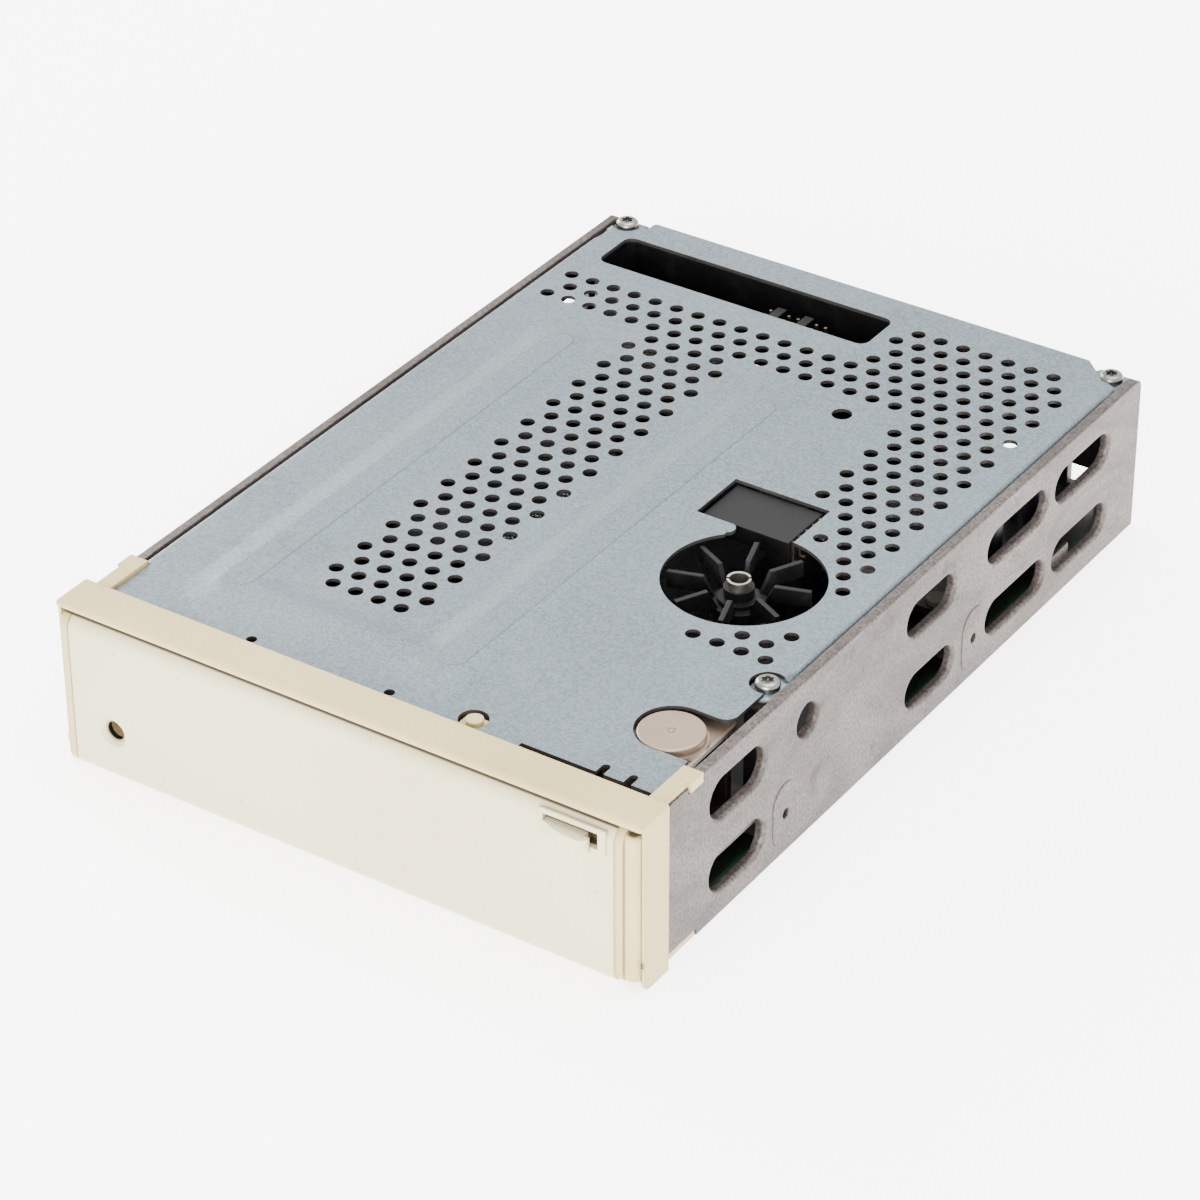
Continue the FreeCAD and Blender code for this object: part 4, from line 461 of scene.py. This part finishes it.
def coverOutline():
    # flat pattern of the sheet, counterclockwise, with the two skirts laid out past the edges
    extra = coverSheet["roll"] * (math.pi / 2 - 1) + coverSheet["skirt"] - coverSheet["roll"]
    edge = coverSheet["roll"] * (math.pi / 2 - 1)
    left, right = coverSheet["left"], coverSheet["right"]
    run = [[(left + 2.0, 0.4), (36.5, 0.4), (36.5, 3.6)]]
    for x in (54.6, 61.3):
        run.append([(x, 3.6), (x, 6.0)])
        run.append(arcPoints(x + 0.95, 6.0, 0.95, 180, 0, 7))
        run.append([(x + 1.9, 3.6)])
    run.append([(68.2, 3.6), (68.2, 16.8)])
    run.append(arcPoints(59.6, 24.8, 8.3, -76, -270, 40))
    run.append([(60.4, 33.05)])
    run.append(arcPoints(65.2, 36.0, 3.0, -90, 0, 8))
    run.append([(68.2, 45.6)])
    run.append(arcPoints(67.0, 49.5, 4.1, -72, -310, 30))
    run.append([(right + edge, 53.4), (right + edge, 56.0), (right + extra, 56.0), (right + extra, 193.0),
                (right + edge, 193.0), (right + edge, 195.2), (69.4, 195.5)])
    run.append([(65.0, 197.4), (59.5, 202.6), (59.1, 203.0), (-60.4, 203.0), (-61.2, 202.6), (-61.2, 199.4),
                (-63.1, 199.4)])
    run.append(arcPoints(-67.0, 199.4, 3.9, 0, -150, 16)[1:])
    run.append([(left - edge, 197.4), (left - edge, 194.0), (left - extra, 194.0), (left - extra, 17.4),
                (left - edge, 17.4), (left - edge, 15.2), (left + 2.0, 15.2)])
    return np.vstack([np.array(part, dtype=float) for part in run])


def coverHoles():
    # cut-outs as closed loops of points; the fan's arc starts and stops where its circle meets the sensor's
    # window, at the arc cosine of the side's distance from the fan over the radius
    x, y, radius = coverSheet["fan"]
    start = 180.0 - math.degrees(math.acos((x - 28.6) / radius))
    stop = 360.0 + math.degrees(math.acos((43.0 - x) / radius))
    window = np.array([(43.0, 113.7), (18.5, 113.7), (18.5, 97.5)])
    holes = [np.vstack((arcPoints(x, y, radius, start, stop, 96), window,
                        arcPoints(27.6, 95.6, 2.0, 71.8, -60.0, 8)))]
    holes.append(roundPlate(*coverSheet["well"]))
    for cx, cy, r, count in coverSheet["roundHoles"]:
        holes.append(arcPoints(cx, cy, r, 0, 360, count + 1)[:-1])
    for cx, cy in ventLattice():
        holes.append(arcPoints(cx, cy, coverSheet["ventRadius"], 0, 360, 25)[:-1])
    return holes


def beadHeight(x, y):
    # three ridges joined by a p-norm; a ridge is 1 within its radius of a segment and falls off with
    # distance over a slope width that is side * |cos| and end * |sin| of the bearing, root of squares
    slopes = coverSheet["slopes"]
    half = coverSheet["armHalf"]

    def ridge(x0, x1, y0, y1, radius):
        dx = x - np.clip(x, x0, x1)
        dy = y - np.clip(y, y0, y1)
        far = np.maximum(np.hypot(dx, dy), 1e-9)
        side = np.where(dx < 0, slopes["left"], slopes["right"])
        end = np.where(dy < 0, slopes["front"], slopes["rear"])
        width = np.hypot(side * dx / far, end * dy / far)
        t = np.clip(1.0 - np.maximum(far - radius, 0) / np.maximum(width, 1e-6), 0, 1)
        return 0.75 * t + 0.25 * (3 * t ** 2 - 2 * t ** 3)

    crest, end = coverSheet["crest"], coverSheet["armEnd"]
    a, b = coverSheet["arms"]
    levels = [ridge(a, a, crest + half - 1.0, end - half, half), ridge(b, b, crest + half - 1.0, end - half, half),
              ridge(a, b, crest, crest, 1.0)]
    power = coverSheet["joinPower"]
    return coverSheet["rise"] * np.minimum(sum(t ** power for t in levels) ** (1.0 / power), 1.0)


def insideLoop(px, py, loop):
    # even-odd rule: a point is inside if a ray to its right crosses the loop an odd number of times
    inside = np.zeros(len(px), dtype=bool)
    x0, y0 = loop[:, 0], loop[:, 1]
    x1, y1 = np.roll(x0, -1), np.roll(y0, -1)
    for ax, ay, bx, by in zip(x0, y0, x1, y1):
        if ay == by:
            continue
        spans = (py >= min(ay, by)) & (py < max(ay, by))
        inside ^= spans & (px < ax + (py - ay) * (bx - ax) / (by - ay))
    return inside


def bendSheet(flat, drop):
    # past each edge the pattern turns down through a quarter circle and then runs straight down;
    # drop is the depth below the outer face, measured along the sheet's own normal
    u, v = flat[:, 0], flat[:, 1]
    roll = coverSheet["roll"]
    middle = (coverSheet["left"] + coverSheet["right"]) / 2
    reach = (coverSheet["right"] - coverSheet["left"]) / 2 - roll
    side = np.sign(u - middle)
    past = np.maximum(np.abs(u - middle) - reach, 0)
    angle = np.minimum(past / roll, math.pi / 2)
    straight = np.maximum(past - roll * math.pi / 2, 0)
    x = np.where(past > 0, middle + side * (reach + (roll - drop) * np.sin(angle)), u)
    z = coverSheet["top"] - roll + (roll - drop) * np.cos(angle) - straight
    return np.column_stack((x, v + midY, z + beadHeight(u, v))) * mm


def lugRing(cx, cy, xLimit, yLimit, xStart):
    # flat washer-shaped lug: rings of angle-even points, the outer ring clipped to the given limits
    count = 48
    outer = arcPoints(cx, cy, coverSheet["lugRadius"], 0, 360, count + 1)[:-1]
    inner = arcPoints(cx, cy, coverSheet["lugHole"], 0, 360, count + 1)[:-1]
    outer[:, 0] = np.clip(outer[:, 0], xStart, xLimit)
    outer[:, 1] = np.minimum(outer[:, 1], yLimit)
    high = coverSheet["top"] - coverSheet["thick"]
    low = high - coverSheet["thick"]
    levels = [(outer, high), (inner, high), (inner, low), (outer, low)]
    points = np.vstack([np.column_stack((ring[:, 0], ring[:, 1] + midY, np.full(count, z)))
                        for ring, z in levels]) * mm
    k = np.arange(count)
    n = (k + 1) % count
    faces = [np.column_stack((a * count + k, a * count + n, b * count + n, b * count + k))
             for a, b in ((0, 1), (1, 2), (2, 3), (3, 0))]
    return points, np.vstack(faces)


def fillMesh(name, points, faces, sharp):
    # one mesh from points and faces, smooth but for the sharp edges; an edge's key is its lower end times
    # the number of points, plus its higher end
    mesh = bpy.data.meshes.new(name)
    mesh.from_pydata(points.tolist(), [], faces)
    mesh.polygons.foreach_set("use_smooth", np.ones(len(mesh.polygons), dtype=bool))
    ends = np.empty(len(mesh.edges) * 2, dtype=np.int64)
    mesh.edges.foreach_get("vertices", ends)
    keys = [np.sort(pairs, axis=1) @ np.array((len(points), 1)) for pairs in (ends.reshape(-1, 2), sharp)]
    attribute = mesh.attributes.new("sharp_edge", "BOOLEAN", "EDGE")
    attribute.data.foreach_set("value", np.isin(keys[0], keys[1]))
    mesh.update()
    piece = bpy.data.objects.new(name, mesh)
    bpy.context.collection.objects.link(piece)
    return piece


def sheetGrid(loops):
    # grid of points that is fine across the bead and the rolled edges, less those near any loop
    xs = [np.arange(-68.0, 69.0, 6.0), np.arange(-58.0, -41.0, 0.55), np.arange(-2.4, 14.4, 0.55)]
    for side, edge in ((-1, coverSheet["left"]), (1, coverSheet["right"])):
        roll = coverSheet["roll"]
        xs.append(edge - side * roll + side * np.linspace(0.0, roll * math.pi / 2, 7))
    ys = [np.arange(3.0, 202.0, 6.0), np.arange(6.5, 24.5, 0.6), np.arange(143.5, 151.0, 0.6)]
    gridX, gridY = np.meshgrid(np.unique(np.hstack(xs)), np.unique(np.hstack(ys)))
    cloud = np.column_stack((gridX.ravel(), gridY.ravel()))
    away = np.ones(len(cloud), dtype=bool)
    for loop in loops:
        for part in np.array_split(loop, max(1, len(loop) // 64)):
            gap = np.hypot(cloud[:, None, 0] - part[None, :, 0], cloud[:, None, 1] - part[None, :, 1])
            away &= gap.min(axis=1) > coverSheet["gridGap"]
    return cloud[away]


def cutSheet():
    # flat triangles: Delaunay over the loops and the grid, kept where the middle lies inside the outline and
    # outside every hole, all turned counterclockwise by the sign of the cross product of two sides
    loops = [coverOutline()] + coverHoles()
    points, links = [], []
    for loop in loops:
        base = sum(len(p) for p in points)
        k = np.arange(len(loop))
        points.append(loop)
        links.append(np.column_stack((base + k, base + (k + 1) % len(loop))))
    flat = np.vstack(points + [sheetGrid(loops)])
    outcome = geometry.delaunay_2d_cdt([Vector(p) for p in flat.tolist()],
                                       np.vstack(links).tolist(), [], 0, 1e-5)
    spots = np.array([tuple(v) for v in outcome[0]])
    tris = np.array([t for t in outcome[2]])
    middle = spots[tris].mean(axis=1)
    keep = insideLoop(middle[:, 0], middle[:, 1], loops[0])
    for loop in loops[1:]:
        keep &= ~insideLoop(middle[:, 0], middle[:, 1], loop)
    tris = tris[keep]
    a, b, c = (spots[tris[:, i]] for i in range(3))
    area = (b[:, 0] - a[:, 0]) * (c[:, 1] - a[:, 1]) - (b[:, 1] - a[:, 1]) * (c[:, 0] - a[:, 0])
    tris[area < 0] = tris[area < 0][:, ::-1]
    tris = tris[np.abs(area) > coverSheet["leastArea"]]
    used = np.unique(tris)
    number = np.full(len(spots), -1)
    number[used] = np.arange(len(used))
    return spots[used], number[tris]


def pressCover():
    # bend the flat triangles twice, at no depth and at the sheet's thickness, and join the two skins
    spots, tris = cutSheet()
    count = len(spots)
    # a side of a triangle that no other triangle shares is the rim
    sides = np.vstack((tris[:, [0, 1]], tris[:, [1, 2]], tris[:, [2, 0]]))
    keys = np.sort(sides, axis=1)
    _, first, times = np.unique(keys, axis=0, return_index=True, return_counts=True)
    rim = sides[first[times == 1]]
    walls = np.column_stack((rim[:, 1], rim[:, 0], rim[:, 0] + count, rim[:, 1] + count))
    upper = bendSheet(spots, 0.0)
    lower = bendSheet(spots, coverSheet["thick"])
    faces = tris.tolist() + (tris[:, ::-1] + count).tolist() + walls.tolist()
    every = [upper, lower]
    total = 2 * count
    for cx, cy, xLimit, yLimit, xStart in coverSheet["lugs"]:
        ring, quads = lugRing(cx, cy, xLimit, yLimit, xStart)
        every.append(ring)
        faces += (quads + total).tolist()
        total += len(ring)
    sharp = np.vstack((rim, rim + count))
    return fillMesh("pressedCover", np.vstack(every), faces, sharp)


cover = pressCover()
cover.data.materials.append(platedSheet("pressedSheet", True))
# painted shade: the sheet's cut edges, the faces standing near upright, get a darker steel
cover.data.materials.append(turnedSteel("cutEdge", coverSheet["edgeShadeTone"], 0.45, 0.6))
tint = np.zeros(len(cover.data.polygons), dtype=np.int32)
level = np.empty(len(cover.data.polygons) * 3)
cover.data.polygons.foreach_get("normal", level)
tint[np.abs(level.reshape(-1, 3)[:, 2]) < coverSheet["edgeSlope"]] = 1
cover.data.polygons.foreach_set("material_index", tint)
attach(cover, "drive_case")
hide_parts("top_cover")
print("cover pressed:", len(cover.data.polygons), "faces")


stage = {
    "floorHalf": 3.0, "floorTone": (255, 255, 255), "floorGlow": 3.0, "floorDrop": 0.00002,
    "worldTone": (255, 255, 255), "worldStrength": 2.4,
}


def pale(name, shade, glow):
    # matt paint whose colour runs between the shade and one step below it, by a slow noise
    f = Finish(name, roughness=0.9, Specular_IOR_Level=0.1, Emission_Strength=glow, Emission_Color=tone(*shade))
    mottle = f.place.noise(3.0, 2.0, 0.5)
    f.colour(mottle.blend(tone(*shade), tone(*(c - 1 for c in shade))))
    return f.material


def layFloor():
    # flat square, 2 * half wide, just under the drive
    half = stage["floorHalf"]
    z = cadBox[0][2] - stage["floorDrop"]
    corners = [(-half, -half, z), (half, -half, z), (half, half, z), (-half, half, z)]
    mesh = bpy.data.meshes.new("studioFloor")
    mesh.from_pydata(corners, [], [(0, 1, 2, 3)])
    floor = bpy.data.objects.new("studioFloor", mesh)
    floor.data.materials.append(pale("floorPaint", stage["floorTone"], stage["floorGlow"]))
    bpy.context.collection.objects.link(floor)


layFloor()
world = bpy.data.worlds.new("studioWorld")
bpy.context.scene.world = world
world.use_nodes = True
background = world.node_tree.nodes["Background"]
background.inputs["Color"].default_value = tone(*stage["worldTone"])
background.inputs["Strength"].default_value = stage["worldStrength"]

lamps = [  # name, place, aimed at, size, watts
    ("keySoft", (-1.12, 0.42, 0.5), (0, 0, 0.02), 0.6, 25.0),
    ("fillSoft", (0.35, -1.1, 0.35), (0, 0, 0.02), 0.7, 30.0),
    ("topSoft", (0.1, 0.2, 1.4), (0, 0, 0.02), 1.2, 36.0),
]
for name, place, aim, size, watts in lamps:
    light = bpy.data.lights.new(name, "AREA")
    light.shape = "SQUARE"
    light.size = size
    light.energy = watts
    lamp = bpy.data.objects.new(name, light)
    lamp.location = place
    lamp.rotation_euler = (Vector(aim) - Vector(place)).to_track_quat("-Z", "Y").to_euler()
    bpy.context.collection.objects.link(lamp)

view = {"lens": 132.771, "spot": (459.521, -597.898, 558.073), "turn": (2.0800295, 0.628569575, -0.343447981)}


def setCamera():
    # turn is the axis times the angle that takes world axes to the lens's x right, y down, z ahead
    turn = Vector(view["turn"])
    toLens = Matrix.Rotation(turn.length, 3, turn.normalized())
    flip = Matrix(((1, 0, 0), (0, -1, 0), (0, 0, -1)))
    spot = Vector((view["spot"][0], view["spot"][1] + midY, view["spot"][2])) * mm
    camera = bpy.data.cameras.new("viewCamera")
    camera.lens = view["lens"]
    camera.sensor_width = 36.0
    camera.clip_start = 0.05
    camera.clip_end = 20.0
    holder = bpy.data.objects.new("viewCamera", camera)
    holder.matrix_world = Matrix.Translation(spot) @ (flip @ toLens).transposed().to_4x4()
    bpy.context.collection.objects.link(holder)
    bpy.context.scene.camera = holder


setCamera()
print("stage, lamps and camera set")
